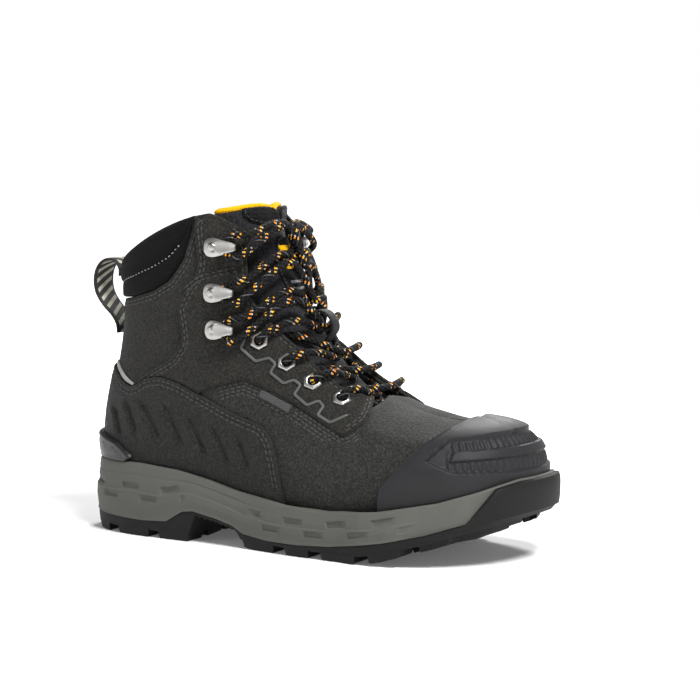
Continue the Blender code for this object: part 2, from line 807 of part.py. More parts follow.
def make_midsole():
    bm = bmesh.new()
    rings = []
    for bulge, rise in ((0.8, 0), (2.2, 0.3), (1.6, 0.62), (0.4, 0.9), (0, 1)):
        ring = []
        for t in stations():
            x = sole_x(t)
            foot = profile(x, MIDSOLE_FOOT) + GAP
            top = profile(x, MIDSOLE_TOP)
            out = profile(x, RIM_FACE) + bulge * (1 - flush(x)) - GAP * flush(x)
            ring.append(bm.verts.new(sole_point(t, out, foot + rise * (top - foot))))
        rings.append(ring)
    edge = [(t, sole_x(t)) for t in stations()]
    edge = [sole_point(t, profile(x, TRAY_WALL), profile(x, MIDSOLE_TOP)) for t, x in edge]
    rings.append([bm.verts.new(p) for p in edge])
    floor = [feather_point(t, profile(sole_x(t), TRAY_WALL), feather_height(t) - 2.4) for t in stations()]
    floor = [bm.verts.new(p) for p in floor]
    rings.append(floor)
    stitch_rings(bm, rings)
    cross_strips(bm, rings[0])
    cross_strips(bm, floor)
    return finish(bm, "midsole", material("midsole_foam", (0.16, 0.162, 0.145), 0.75))


def web_height(x):
    """Height of the outsole's under face between its lugs."""
    return min(profile(x, GROUND_LINE) + 3.6, profile(x, MIDSOLE_FOOT) - 2.2)


def outsole_column(t):
    """The outsole's wall at one station: six points from the under face round to the top face."""
    x = sole_x(t)
    foot, ground = profile(x, MIDSOLE_FOOT), web_height(x)
    rim = max(foot, profile(x, BUMPER_TOP)) if x > 276 else foot
    shoulder = rim - 0.3 * bumper(x) * (rim - foot)
    face, swell = profile(x, RIM_FACE), bumper(x)
    wall = (
        (face + 0.6, ground),
        (face + 1.6 + 1.2 * swell, (ground + foot) / 2),
        (face + 1.7 + 1.6 * swell, shoulder),
        (face + 1.5 + 1.0 * swell, rim),
        (face + 0.1, rim),
        (face - 0.15, foot),
    )
    return [sole_point(t, out, z) for out, z in wall]


def make_outsole():
    bm = bmesh.new()
    columns = [[bm.verts.new(p) for p in outsole_column(t)] for t in stations()]
    rings = [list(ring) for ring in zip(*columns)]
    stitch_rings(bm, rings)
    cross_strips(bm, rings[-1])
    lugs = []
    for f in cross_strips(bm, rings[0], 5, web_height):
        x = f.calc_center_median().x
        if not ARCH[0] < x < ARCH[1] and 8 < x < 300:
            lugs.append(f)
    bm.normal_update()
    bmesh.ops.inset_individual(bm, faces=lugs, thickness=LUG_GAP)
    for f in lugs:
        for v in f.verts:
            v.co.z = profile(v.co.x, GROUND_LINE)
    return finish(bm, "outsole", material("outsole_rubber", (0.025, 0.025, 0.024), 0.8), smooth=False)


def make_layer(name, low, high, mat):
    """Sheet that fills the tray inside the lining."""
    bm = bmesh.new()
    a, b = inner_ring(bm, BED_EDGE, low), inner_ring(bm, BED_EDGE, high)
    stitch_rings(bm, [a, b])
    cross_strips(bm, a)
    cross_strips(bm, b)
    return finish(bm, name, mat)


def make_shank():
    bm = bmesh.new()
    loops = []
    for i in range(9):
        x = 62 + 14 * i
        z = shank_height(x)
        w = 8 - 2.5 * abs(i - 4) / 4
        loops.append([bm.verts.new((x, y, z + h)) for y, h in ((-w, 0), (w, 0), (w, 1.2), (-w, 1.2))])
    for a, b in zip(loops, loops[1:]):
        for i in range(4):
            j = (i + 1) % 4
            bm.faces.new((a[i], a[j], b[j], b[i]))
    bm.faces.new(loops[0][::-1])
    bm.faces.new(loops[-1])
    return finish(bm, "shank", material("shank_steel", (0.45, 0.45, 0.47), 0.4, 1.0))


def shank_height(x):
    """Top of the puncture plate at x, plus a gap."""
    best = min(stations()[:STATIONS // 2 + 1], key=lambda t: abs(surface(t, 0)[0] - x))
    near = [best - 0.5 + 0.05 * i for i in range(21)]
    heights = sorted((surface(t, 0)[0], feather_height(t)) for t in near)
    return profile(x, heights) - 0.25


def make_footbed():
    bm = bmesh.new()
    low = inner_ring(bm, BED_EDGE, 3.4)
    edge = inner_ring(bm, BED_EDGE, 8.0)
    top = []
    for t in stations():
        cup = float(np.interp(sole_x(t), (0, 90, 150), (4.5, 3.0, 0.8)))
        top.append(bm.verts.new(feather_point(t, -7.6, feather_height(t) + 8.0 + cup)))
    inner = inner_ring(bm, -14, 7.8)
    stitch_rings(bm, [low, edge, top, inner])
    cross_strips(bm, low)
    cross_strips(bm, inner)
    return finish(bm, "footbed", material("footbed_foam", (0.05, 0.05, 0.055), 0.9))


def make_heel_clip():
    outline = [(-20, 45.4), (-20, 62), (4, 62), (20, 60.5), (36, 57), (48, 49), (42, 45.4)]
    obj = panel((3.1, 6.4), outline)
    return named(obj, "heel_clip", material("clip_plastic", (0.02, 0.02, 0.02), 0.45))


# ---------------------------------------------------------------- tongue trim and heel loop

def make_tongue_pad():
    outline = [(119, 240), (119, 200), (124, 195), (134, 191), (170, 191), (170, 240)]
    solid = boolean(tongue_layer(GAP, 1.9), prism(outline), "INTERSECT")
    return named(solid, "tongue_top_pad", material("pad_knit", (0.03, 0.03, 0.032), 0.95))


def make_tongue_patch():
    outline = [(120, 150), (170, 150), (170, 186), (120, 186)]
    tool = prism(outline, -13, 13)
    solid = boolean(tongue_layer(GAP, 1.1), tool, "INTERSECT")
    return named(solid, "tongue_patch", material("patch_weave", (0.02, 0.02, 0.02), 0.9))


def ridge_at(z):
    """Station on the ridge over the foot at height z."""
    low, high = float(CORNER), float(LAST)
    for _ in range(40):
        mid = (low + high) / 2
        if surface(mid, 1)[2] > z:
            low = mid
        else:
            high = mid
    return low


def ribbon(points, sides, ups, width, thick, name, mat):
    """Flat band along points; sides and ups are its crosswise and outward directions."""
    bm = bmesh.new()
    loops = []
    for p, side, up in zip(points, sides, ups):
        loop = []
        for a, b in ((-1, -1), (1, -1), (1, 1), (-1, 1)):
            loop.append(bm.verts.new(p + side * a * width / 2 + up * b * thick / 2))
        loops.append(loop)
    for a, b in zip(loops, loops[1:]):
        for i in range(4):
            j = (i + 1) % 4
            bm.faces.new((a[i], a[j], b[j], b[i]))
    bm.faces.new(loops[0][::-1])
    bm.faces.new(loops[-1])
    return finish(bm, name, mat)


def band_in_profile(path, width, thick, name, mat):
    """Band whose centre line lies in the middle plane; path holds (x, z) points."""
    points = catmull([(x, 0, z) for x, z in path], 4 * (len(path) - 1) + 1)
    ups = []
    for i in range(len(points)):
        d = points[min(i + 1, len(points) - 1)] - points[max(i - 1, 0)]
        d /= np.linalg.norm(d)
        ups.append(np.array([-d[2], 0, d[0]]))
    return ribbon(points, [np.array([0, 1, 0])] * len(points), ups, width, thick, name, mat)


# Strap over the tongue that the lace runs under: (ridge height, distance out of the upper's face).
KEEPER_PATH = (
    (141.2, -7.5), (140, -6.0), (139, 1.5), (136.2, 5.6), (130.6, 7.1), (126.4, 5.6), (124.8, 1.5),
    (123.6, -6.0), (122.2, -7.5),
)
LOOP_PATH = (
    (15.9, 157), (15.6, 162), (11.5, 167), (4, 167), (-1.5, 162), (-3.6, 154), (-2, 145.5), (3.5, 138),
    (9.5, 132.5), (13.2, 127), (14.2, 121),
)
HEX_PIPING = (
    (130, 129), (127.5, 118.5), (137, 111), (144.5, 113), (149, 109.5), (147, 104.5), (156.5, 98.5),
    (162, 100.5), (166.5, 97.5), (164.5, 92.5), (174, 86.5), (179.5, 89), (183.5, 86), (182, 81.5),
    (191, 77.5), (199, 81.5),
)


def make_keeper():
    path = [offset_point(ridge_at(z), 1, lift) for z, lift in KEEPER_PATH]
    leather = material("keeper_leather", (0.04, 0.04, 0.042), 0.7)
    return band_in_profile([(p[0], p[2]) for p in path], 9, 1.4, "lace_keeper", leather)


def make_pull_loop():
    webbing = material("loop_webbing", (0.05, 0.05, 0.05), 0.9)
    return band_in_profile(LOOP_PATH, 20, 1.6, "pull_loop", webbing)


def make_piping(side, name):
    points, sides, ups = [], [], []
    route = [np.array(p, float) for p in HEX_PIPING]
    for a, b in zip(route, route[1:]):
        for f in (0, 0.5):
            points.append(a + (b - a) * f)
    points.append(route[-1])
    places = [locate(x, z, side) for x, z in points]
    solid = [offset_point(t, s, 3.2) for t, s in places]
    for i, (t, s) in enumerate(places):
        d = solid[min(i + 1, len(solid) - 1)] - solid[max(i - 1, 0)]
        out = normal(t, s)
        across = np.cross(d, out)
        sides.append(across / np.linalg.norm(across))
        ups.append(out)
    return ribbon(solid, sides, ups, 1.6, 0.9, name, material("piping_grey", (0.12, 0.12, 0.115), 0.5))


def make_label():
    outline = [(143, 95.2), (164, 86.8), (162.2, 82.6), (141.2, 91)]
    obj = panel((GAP, 1.1), outline, -150, -1)
    return named(obj, "side_label", material("label_weave", (0.06, 0.06, 0.06), 0.7))


def make_heel_piping(side, name):
    outline = [(24, 103.2), (37.2, 94.2), (45.5, 91.8), (46.3, 93.4), (38.5, 96.6), (25, 106)]
    obj = panel((GAP, 1.3), outline, *half_space(side, 1))
    return named(obj, name, material("reflective_piping", (0.55, 0.55, 0.52), 0.4))


# ---------------------------------------------------------------- lace

# Depths of the lace's centre line from the upper's outer face.
OVER = 0.4
UNDER = -4.5
INSIDE = -5.3
BESIDE = 5.0
# Height on the ridge where each row's two strands cross, from the toe up.
CROSSING_HEIGHTS = (94.5, 104.5, 115, 130, 145, 165)


def mid_place(a, b, f):
    return a[0] + (b[0] - a[0]) * f, a[1] + (b[1] - a[1]) * f


def row_place(row, side):
    """Rows count up from the toe: four eyelets, then three hooks."""
    if row < 4:
        return locate(*EYELETS[3 - row], side)
    return locate(*HOOKS[row - 4], side)


def row_height(row):
    return EYELETS[3 - row][1] if row < 4 else HOOKS[row - 4][1]


def leave_eyelet(place, ridge):
    """Up through an eyelet and over the eyestay's edge."""
    t, s = place
    c, n = surface(t, s), normal(t, s)
    toward = surface(*mid_place(place, ridge, 0.3)) - c
    toward -= n * np.dot(toward, n)
    toward /= np.linalg.norm(toward)
    return [c + n * -3.6, c + n * -1.2, c + n * 1.6, c + n * 4.2, c + n * 6.6 + toward * 1.6,
            c + n * 7.0 + toward * 5.2]


def reach_eyelet(place, ridge):
    """Under the eyestay's edge to an eyelet's lower end."""
    return [offset_point(*mid_place(place, ridge, f), INSIDE) for f in (0.34, 0.17)]


def round_hook(row, side):
    """From below, through the hook's throat, and out above it; the route is (forward, up, out)."""
    t, s = row_place(row, side)
    forward, up, out = frame_at(t, s)
    c = surface(t, s) + out * 2.7
    route = (
        (19.5, -0.5, 3.6), (14.5, -4.6, 3.6), (10.5, -7.0, 3.7), (7.2, -6.2, 3.7), (4.9, -3.5, 3.7),
        (4.1, 0, 3.7), (4.9, 3.6, 3.7), (7.4, 6.2, 3.7), (11, 7.4, 3.6), (17, 7.8, 3.2),
    )
    return [c + forward * x + up * y + out * h for x, y, h in route]


def between(place, ridge, f, lift):
    """Point above the eyestay, f of the way from a row's place to the ridge, sinking to lift there."""
    share = {0.6: 0.4, 0.82: 0.8}[f]
    return offset_point(*mid_place(place, ridge, f), (1 - share) * BESIDE + share * lift)


def sides_of(ridge, side):
    """The ridge station as reached from the given side and from the other one."""
    lateral, medial = (ridge, 1.0), (len(NET) - ridge, 1.0)
    return (lateral, medial) if side < 0 else (medial, lateral)


def crossing(row, side, lift):
    """From the given side at this row over the tongue to the other side at the next row."""
    start, end = row_place(row, side), row_place(row + 1, -side)
    ridge = ridge_at(CROSSING_HEIGHTS[row])
    near, far = sides_of(ridge, side)
    if row < 4:
        points = leave_eyelet(start, near)
        points.append(offset_point(*mid_place(start, near, 0.36), 6.0))
    else:
        points = round_hook(row, side)
    points += [between(start, near, f, lift) for f in (0.6, 0.82)]
    points.append(offset_point(ridge, 1, lift))
    if row + 1 < 4:
        points.append(offset_point(*mid_place(end, far, 0.78), 0.65 * lift + 0.35 * INSIDE))
        points.append(offset_point(*mid_place(end, far, 0.55), 0.15 * lift + 0.85 * INSIDE))
        return points + reach_eyelet(end, far)
    return points + [between(end, far, f, lift) for f in (0.82, 0.6)]


def tuck(side):
    """From the top hook over the tongue, down inside the far eyestay."""
    ridge = ridge_at(178)
    start = row_place(6, side)
    near, _ = sides_of(ridge, side)
    lift = OVER if side < 0 else UNDER
    points = round_hook(6, side)
    points += [between(start, near, f, lift) for f in (0.6, 0.82)]
    points.append(offset_point(ridge, 1, lift))
    points.append(offset_point(*locate(137.5, 172, -side), -3.8))
    for x, z in ((131, 167), (125, 161), (121.5, 154), (120.5, 146), (122.5, 138)):
        points.append(offset_point(*locate(x, z, -side), INSIDE))
    return points


def half_lace(side):
    """One side's run of the lace, from the middle of the bottom bar to its tucked end."""
    points = []
    hand = side
    for row in range(6):
        lift = OVER if (row + (side > 0)) % 2 else UNDER
        points += crossing(row, hand, lift)
        hand = -hand
    return points + tuck(hand)


def lace_route():
    ridge = ridge_at(91.5)
    lateral, medial = sides_of(ridge, -1)
    left = [offset_point(*mid_place(row_place(0, -1), lateral, f), INSIDE) for f in (0.6, 0.25)]
    right = [offset_point(*mid_place(row_place(0, 1), medial, f), INSIDE) for f in (0.6, 0.25)]
    bar = left[::-1] + [offset_point(ridge, 1, INSIDE)] + right
    return half_lace(-1)[::-1] + bar + half_lace(1)


def tube(points, radius, sides, name, mat):
    """Closed round tube along points, given in millimetres."""
    bm = bmesh.new()
    rings = []
    up = None
    for i, p in enumerate(points):
        d = points[min(i + 1, len(points) - 1)] - points[max(i - 1, 0)]
        d /= np.linalg.norm(d)
        if up is None:
            up = np.cross(d, (0.3, 0.2, 1))
        up = up - d * np.dot(up, d)
        up /= np.linalg.norm(up)
        side = np.cross(d, up)
        ring = []
        for k in range(sides):
            a = 2 * math.pi * k / sides
            ring.append(bm.verts.new(p + (up * math.cos(a) + side * math.sin(a)) * radius))
        rings.append(ring)
    stitch_rings(bm, rings)
    bm.faces.new(rings[0][::-1])
    bm.faces.new(rings[-1])
    return finish(bm, name, mat)


AGLET_LENGTH = 18.0
AGLET_RADIUS = 1.9
LACE_STEP = 14.0
LACE_SLACK = 0.17


def make_lace():
    """The cord, with a moulded tip at either tucked end."""
    dense = centripetal(lace_route(), 16)
    run = [0.0]
    for a, b in zip(dense, dense[1:]):
        run.append(run[-1] + float(np.linalg.norm(b - a)))
    first = next(i for i, r in enumerate(run) if r > AGLET_LENGTH)
    last = next(i for i, r in enumerate(run) if r > run[-1] - AGLET_LENGTH)
    cord = dense[first:last + 1]
    for end, inner in ((0, 1), (-1, -2)):
        along = cord[inner] - cord[end]
        cord[end] = cord[end] + along / np.linalg.norm(along) * 2 * GAP
    tip = material("aglet_plastic", (0.02, 0.02, 0.02), 0.3)
    tube(lean_polyline(cord, LACE_SLACK, LACE_STEP), LACE_RADIUS, 6, "lace",
         material("lace_cord", (0.03, 0.03, 0.03), 0.85))
    tube(lean_polyline(dense[:first + 1], 0.1, 6), AGLET_RADIUS, 8, "aglet_1", tip)
    tube(lean_polyline(dense[last:], 0.1, 6), AGLET_RADIUS, 8, "aglet_2", tip)


# ---------------------------------------------------------------- build

# Joint axes run along Y through these points: (x, z).
TONGUE_HINGE = (205, 82)
FOOTBED_HINGE = (290, 43)
TONGUE_PIECES = ("tongue", "tongue_lining", "tongue_top_pad", "tongue_patch", "lace_keeper")


def clear_scene():
    for obj in list(bpy.data.objects):
        bpy.data.objects.remove(obj)


def put_origin(name, place):
    """Move an object's origin onto its joint axis without moving its mesh."""
    origin = Vector(world((place[0], 0, place[1])))
    obj = bpy.data.objects[name]
    obj.data.transform(Matrix.Translation(-origin))
    obj.location = origin


def build():
    clear_scene()
    make_outsole()
    make_midsole()
    make_heel_clip()
    make_layer("puncture_plate", -1.4, -0.6, material("plate_steel", (0.55, 0.55, 0.57), 0.4, 1.0))
    make_shank()
    make_layer("insole_board", 1.3, 3.1, material("board_fibre", (0.35, 0.3, 0.22), 0.9))
    make_footbed()
    make_toe_cap()
    make_counter()
    make_lining()
    make_vamp()
    make_quarter(-1, "quarter_lateral")
    make_quarter(1, "quarter_medial")
    make_eyestay(-1, "eyestay_lateral")
    make_eyestay(1, "eyestay_medial")
    make_heel_wrap()
    make_backstay()
    make_collar()
    make_guard()
    make_tongue()
    make_tongue_lining()
    make_gusset(-1, "gusset_lateral")
    make_gusset(1, "gusset_medial")
    make_tongue_pad()
    make_tongue_patch()
    make_keeper()
    make_pull_loop()
    make_label()
    make_lace()
    for side, word in ((-1, "lateral"), (1, "medial")):
        make_piping(side, f"hex_piping_{word}")
        make_heel_piping(side, f"heel_piping_{word}")
        for k in range(4):
            make_eyelet(side, k, f"eyelet_{word}_{k + 1}")
        for k in range(3):
            make_hook(side, k, f"hook_{word}_{k + 1}")
            make_hook_rivet(side, k, f"hook_rivet_{word}_{k + 1}")
    for name in TONGUE_PIECES:
        put_origin(name, TONGUE_HINGE)
    put_origin("footbed", FOOTBED_HINGE)


build()
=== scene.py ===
"""Looks of the steel toe work boot: fine skins, seams, hardware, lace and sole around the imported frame.

Boot coordinates in this file are millimetres: x heel to toe, y lateral (-) to medial (+), z up.
"""
import math

import bmesh
import bpy
import numpy as np
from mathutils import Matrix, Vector
from mathutils.geometry import delaunay_2d_cdt
from mathutils.kdtree import KDTree

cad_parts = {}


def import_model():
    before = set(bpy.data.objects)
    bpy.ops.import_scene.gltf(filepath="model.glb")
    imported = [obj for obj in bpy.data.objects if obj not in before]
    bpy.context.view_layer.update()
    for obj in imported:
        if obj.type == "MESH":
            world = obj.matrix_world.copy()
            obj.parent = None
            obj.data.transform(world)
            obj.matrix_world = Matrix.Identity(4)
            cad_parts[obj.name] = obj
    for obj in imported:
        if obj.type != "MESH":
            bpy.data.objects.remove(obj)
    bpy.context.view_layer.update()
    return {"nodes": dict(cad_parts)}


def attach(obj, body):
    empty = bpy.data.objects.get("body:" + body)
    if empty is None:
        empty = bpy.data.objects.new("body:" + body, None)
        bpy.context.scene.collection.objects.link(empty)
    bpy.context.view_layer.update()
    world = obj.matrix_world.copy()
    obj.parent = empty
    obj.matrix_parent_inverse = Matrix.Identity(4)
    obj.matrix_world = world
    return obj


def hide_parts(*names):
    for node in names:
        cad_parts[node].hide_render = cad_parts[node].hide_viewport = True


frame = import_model()

# The frame's origin in boot millimetres.
CENTRE_X = 150.85
CENTRE_Y = -1.5

# ------------------------------------------------------------------ camera and stage

CAMERA_PLACE = (0.6729, -1.1212, 0.2370)
CAMERA_AIM = (0.0272, 0.0015, 0.1169)
LENS = 111.7
SENSOR_WIDTH = 36
CLIP_START, CLIP_END = 0.05, 30
FLOOR_HALF, FLOOR_CELLS = 6, 24
FLOOR_TONE, FLOOR_ROUGH = (0.9, 0.9, 0.9, 1), 0.9
# Floor glow: two distances from the centre in metres, then the strengths there.
FLOOR_GLOW = (0.3, 1.0, 0.08, 1.0)
# World light by the z of its direction: white near the horizon, dark grey overhead.
SKY = ((0.2, (1, 1, 1, 1)), (0.45, (0.16, 0.16, 0.17, 1)))
# Disk lights: name, place, aim, size, power.
LIGHTS = (
    ("key", (0.9, -0.5, 1.5), (0.03, 0, 0.1), 0.55, 40),
    ("fill", (-1.0, -1.3, 0.8), (0, 0, 0.1), 0.6, 2.5),
    ("rim", (-0.3, 1.3, 1.2), (0, 0, 0.12), 0.5, 26),
)


def add_object(name, data):
    obj = bpy.data.objects.new(name, data)
    bpy.context.scene.collection.objects.link(obj)
    return obj


def aim_from(obj, start, aim):
    obj.location = start
    obj.rotation_mode = "QUATERNION"
    obj.rotation_quaternion = (Vector(aim) - Vector(start)).to_track_quat("-Z", "Y")


def make_camera():
    cam = bpy.data.cameras.new("camera")
    cam.lens = LENS
    cam.sensor_width = SENSOR_WIDTH
    cam.clip_start, cam.clip_end = CLIP_START, CLIP_END
    obj = add_object("camera", cam)
    aim_from(obj, CAMERA_PLACE, CAMERA_AIM)
    bpy.context.scene.camera = obj


def make_floor():
    mesh = bpy.data.meshes.new("floor")
    bm = bmesh.new()
    bmesh.ops.create_grid(bm, x_segments=FLOOR_CELLS, y_segments=FLOOR_CELLS, size=FLOOR_HALF)
    bm.to_mesh(mesh)
    bm.free()
    mat = bpy.data.materials.new("floor_paper")
    mat.use_nodes = True
    nodes, links = mat.node_tree.nodes, mat.node_tree.links
    shader = nodes["Principled BSDF"]
    shader.inputs["Base Color"].default_value = FLOOR_TONE
    shader.inputs["Roughness"].default_value = FLOOR_ROUGH
    shader.inputs["Emission Color"].default_value = (1, 1, 1, 1)
    where, reach, glow = (nodes.new("ShaderNode" + k) for k in ("NewGeometry", "VectorMath", "MapRange"))
    reach.operation = "LENGTH"
    links.new(where.outputs["Position"], reach.inputs[0])
    for socket, value in zip(glow.inputs[1:5], FLOOR_GLOW):
        socket.default_value = value
    links.new(reach.outputs["Value"], glow.inputs[0])
    links.new(glow.outputs[0], shader.inputs["Emission Strength"])
    mesh.materials.append(mat)
    add_object("floor", mesh)


def make_world():
    world = bpy.data.worlds.new("studio")
    world.use_nodes = True
    nodes, links = world.node_tree.nodes, world.node_tree.links
    back = nodes["Background"]
    back.inputs["Strength"].default_value = 1.0
    where, split, fall = (nodes.new("ShaderNode" + k) for k in ("TexCoord", "SeparateXYZ", "ValToRGB"))
    for stop, (position, colour) in zip(fall.color_ramp.elements, SKY):
        stop.position, stop.color = position, colour
    links.new(where.outputs["Generated"], split.inputs[0])
    links.new(split.outputs["Z"], fall.inputs[0])
    links.new(fall.outputs[0], back.inputs["Color"])
    bpy.context.scene.world = world


def make_stage():
    bpy.context.scene.view_settings.view_transform = "Standard"
    make_floor()
    make_world()
    for name, start, aim, size, power in LIGHTS:
        light = bpy.data.lights.new(name, "AREA")
        light.shape = "DISK"
        light.size, light.energy = size, power
        aim_from(add_object(name, light), start, aim)


# ------------------------------------------------------------------ the upper's surface

# Control net of the upper's outer face, as in the CAD: lateral half, heel centre to toe centre.
LATERAL_NET = (
    ((10, 0, 38), (7, 0, 56), (11, 0, 84), (18, 0, 110), (21, 0, 138), (19, 0, 163)),
    ((15, -22, 38), (12, -26, 57), (16, -25, 84), (24, -23, 111), (28, -24, 140), (27, -25, 168)),
    ((36, -33, 38), (34, -39, 57), (38, -37, 85), (43, -34, 114), (46, -36, 146), (47, -36, 179)),
    ((62, -36, 38), (62, -43, 57), (64, -42, 86), (67, -40, 117), (70, -41, 151), (70, -41, 190)),
    ((90, -37, 37), (90, -45, 56), (91, -45, 86), (93, -43, 119), (94, -43, 155), (93, -43, 197)),
    ((116, -39, 33), (115, -47, 52), (114, -47, 82), (114, -43, 118), (114, -41, 156), (113, -36, 200)),
    ((140, -41, 28), (139, -50, 48), (136, -48, 76), (132, -41, 110), (129, -32, 153), (126, -23, 203)),
    ((162, -45, 25), (161, -53, 44), (157, -50, 70), (150, -39, 102), (142, -22, 148), (136, 0, 205)),
    ((184, -48, 23), (183, -57, 41), (179, -53, 65), (170, -40, 91), (158, -21, 126), (146, 0, 166)),
    ((206, -50, 23), (206, -59, 40), (202, -55, 61), (192, -41, 82), (177, -21, 104), (158, 0, 132)),
    ((228, -49, 25), (229, -58, 41), (226, -54, 61), (215, -40, 77), (199, -20, 90), (179, 0, 106)),
    ((250, -45, 29), (252, -53, 44), (249, -49, 63), (240, -36, 75), (225, -18, 82), (206, 0, 90)),
    ((271, -36, 34), (275, -43, 48), (271, -39, 65), (262, -28, 75), (248, -14, 79), (228, 0, 83)),
    ((287, -19, 38), (292, -24, 52), (287, -22, 67), (277, -17, 76), (262, -9, 79), (240, 0, 80)),
    ((294, 4, 40), (299, 4, 53), (294, 4, 68), (283, 3, 77), (267, 1, 80), (246, 0, 80)),
)
MEDIAL_WIDTH = (1, 1, 1, 0.99, 0.95, 0.88, 0.84, 0.84, 0.86, 0.9, 0.95, 1.0, 1.08, 1.25, 1)
MEDIAL_SHIFT = (0, 0, 0, 0, 0, 0, 0, 0, 1, 2, 4, 6, 7, 5, 0)
# Stations t run round the boot from the heel centre: LAST is the toe centre, SPAN the whole round and
# CORNER the place where the collar's rim meets the ridge over the foot. Heights s go from 0 to 1.
LAST = 14
SPAN = 28
CORNER = 7


def control_net():
    lateral = np.array(LATERAL_NET, float)
    medial = lateral.copy()
    fade = np.array([1, 1, 1, 0.8, 0.4, 0])
    for j in range(LAST + 1):
        wide = 1 + (MEDIAL_WIDTH[j] - 1) * np.array([1, 1, 1, 0.7, 0.3, 0])
        medial[j, :, 1] *= -wide
        medial[j, :, 0] += MEDIAL_SHIFT[j] * fade
    return np.concatenate([lateral, medial[LAST - 1:0:-1]])


NET = control_net()
KNOTS = np.array([0, 0, 0, 0, 1, 2, 3, 3, 3, 3], float)


def raw(t, s):
    """Points of the B-spline net at stations t and heights s."""
    t, s = np.broadcast_arrays(np.asarray(t, float), np.asarray(s, float))
    shape = t.shape
    t, s = t.ravel(), s.ravel()
    i = np.floor(t).astype(int)
    f = t - i
    wt = np.stack([
        (1 - f) ** 3 / 6,
        (3 * f ** 3 - 6 * f * f + 4) / 6,
        (-3 * f ** 3 + 3 * f * f + 3 * f + 1) / 6,
        f ** 3 / 6,
    ], -1)
    rows = NET[(i[:, None] + np.arange(-1, 3)) % SPAN]
    u = np.clip(s, 0, 1) * 3
    k = np.minimum(u.astype(int), 2) + 3
    basis = [np.ones_like(u)]
    for degree in range(1, 4):
        new = [np.zeros_like(u) for _ in range(degree + 1)]
        for j in range(degree):
            left, right = KNOTS[k + j + 1 - degree], KNOTS[k + j + 1]
            part = basis[j] / (right - left)
            new[j] = new[j] + (right - u) * part
            new[j + 1] = new[j + 1] + (u - left) * part
        basis = new
    ws = np.stack(basis, -1)
    cols = np.take_along_axis(rows, (k[:, None] - 3 + np.arange(4))[:, None, :, None], 2)
    return np.einsum("na,nb,nabc->nc", wt, ws, cols).reshape(shape + (3,))


def unit(v):
    return v / np.maximum(np.linalg.norm(v, axis=-1, keepdims=True), 1e-12)


def run_along(points):
    """Distance travelled at each point of a line."""
    return np.concatenate([[0], np.cumsum(np.linalg.norm(np.diff(points, axis=0), axis=1))])


def read_off(at, run, values):
    """The columns of values, read at places along a run."""
    return np.stack([np.interp(at, run, column) for column in values.T], -1)


def bisect(test, low, high, rounds=30):
    """Where a test of each height changes from true to false."""
    for _ in range(rounds):
        mid = (low + high) / 2
        holds = test(mid)
        low, high = np.where(holds, mid, low), np.where(holds, high, mid)
    return low


def from_heel(t):
    """Stations counted from the heel centre on either side."""
    t = np.mod(t, SPAN)
    return np.minimum(t, SPAN - t)


def ridge_share(t, s):
    """0 on the sides, 1 on the ridge over the foot."""
    return np.clip((from_heel(t) - 6.3) / 0.7, 0, 1) * np.clip(7 * s - 6, 0, 1)


def raw_normal(t, s):
    e = 0.02
    low, high = np.clip(s - e, 0, 1) * 0.98, np.clip(s + e, 0, 1) * 0.98
    across = raw(t + e, s * 0.98) - raw(t - e, s * 0.98)
    n = unit(np.cross(across, raw(t, high) - raw(t, low)))
    p = raw(t, s)
    core = np.stack([np.clip(p[..., 0], 70, 230), p[..., 1] * 0,
                     np.where(p[..., 0] > 120, np.minimum(p[..., 2], 60), p[..., 2])], -1)
    facing = np.sum(n * (p - core), -1, keepdims=True)
    return np.where(facing > 0, n, -n)


def ridge_tables():
    """Along the ridge: its outward direction and how steeply the sides fall away from it."""
    t = np.linspace(6, 14, 161)
    n = unit(raw_normal(t, t * 0 + 1) + raw_normal(-t, t * 0 + 1))
    n[:, 1] = 0
    n = unit(n)
    step = raw(t, t * 0 + 1) - raw(t, t * 0 + 0.9)
    fall = np.abs(np.sum(step * n, -1)) / np.maximum(np.abs(step[:, 1]), 1)
    return t, n, np.clip(fall, 0, 0.6)


RIDGE_T, RIDGE_N, RIDGE_FALL = ridge_tables()


def ridge_normal(t):
    """At a station: the ridge's outward direction, the fall beside it and the half width to round."""
    near = from_heel(t)
    n = read_off(near, RIDGE_T, RIDGE_N)
    return n, np.interp(near, RIDGE_T, RIDGE_FALL), np.interp(near, (8, 12), (7.0, 11.0))


def surf(t, s):
    """Points of the upper's outer face, with the ridge over the foot rounded."""
    t, s = np.asarray(t, float), np.asarray(s, float)
    p = raw(t, s)
    share = ridge_share(t, s)[..., None]
    top, other = raw(t, s * 0 + 1), raw(-t, s * 0 + 1)
    fixed = (top + other) / 2
    fixed[..., 1] = 0
    p = p + share * (fixed - top)
    n, fall, width = ridge_normal(t)
    on = (from_heel(t) > 6.6) & (s > 0.5)
    dip = np.where(on, np.clip(width - np.abs(p[..., 1]), 0, None) ** 2 * fall / (2 * width), 0)
    return p - n * dip[..., None]


def normal(t, s):
    t, s = np.asarray(t, float), np.asarray(s, float)
    n = raw_normal(t, s)
    share = ridge_share(t, s)[..., None]
    nb, _, _ = ridge_normal(t)
    return unit(n * (1 - share) + nb * share)


def off(t, s, d):
    return surf(t, s) + normal(t, s) * np.asarray(d, float)[..., None]


VIEWS = {
    "side": lambda p: p[..., [0, 2]],
    "throat": lambda p: np.stack([p[..., 1], (p[..., 2] - p[..., 0]) * math.sqrt(0.5)], -1),
}


def nearest(see, targets, t, s):
    """Places on a grid of t and s seen nearest the targets, and the squares of their distances."""
    t, s = (g.ravel() for g in np.meshgrid(t, s, indexing="ij"))
    pick = np.argmin(((see(surf(t, s))[None] - targets[:, None]) ** 2).sum(-1), 1)
    t, s = t[pick], s[pick]
    return t, s, ((see(surf(t, s)) - targets) ** 2).sum(-1)


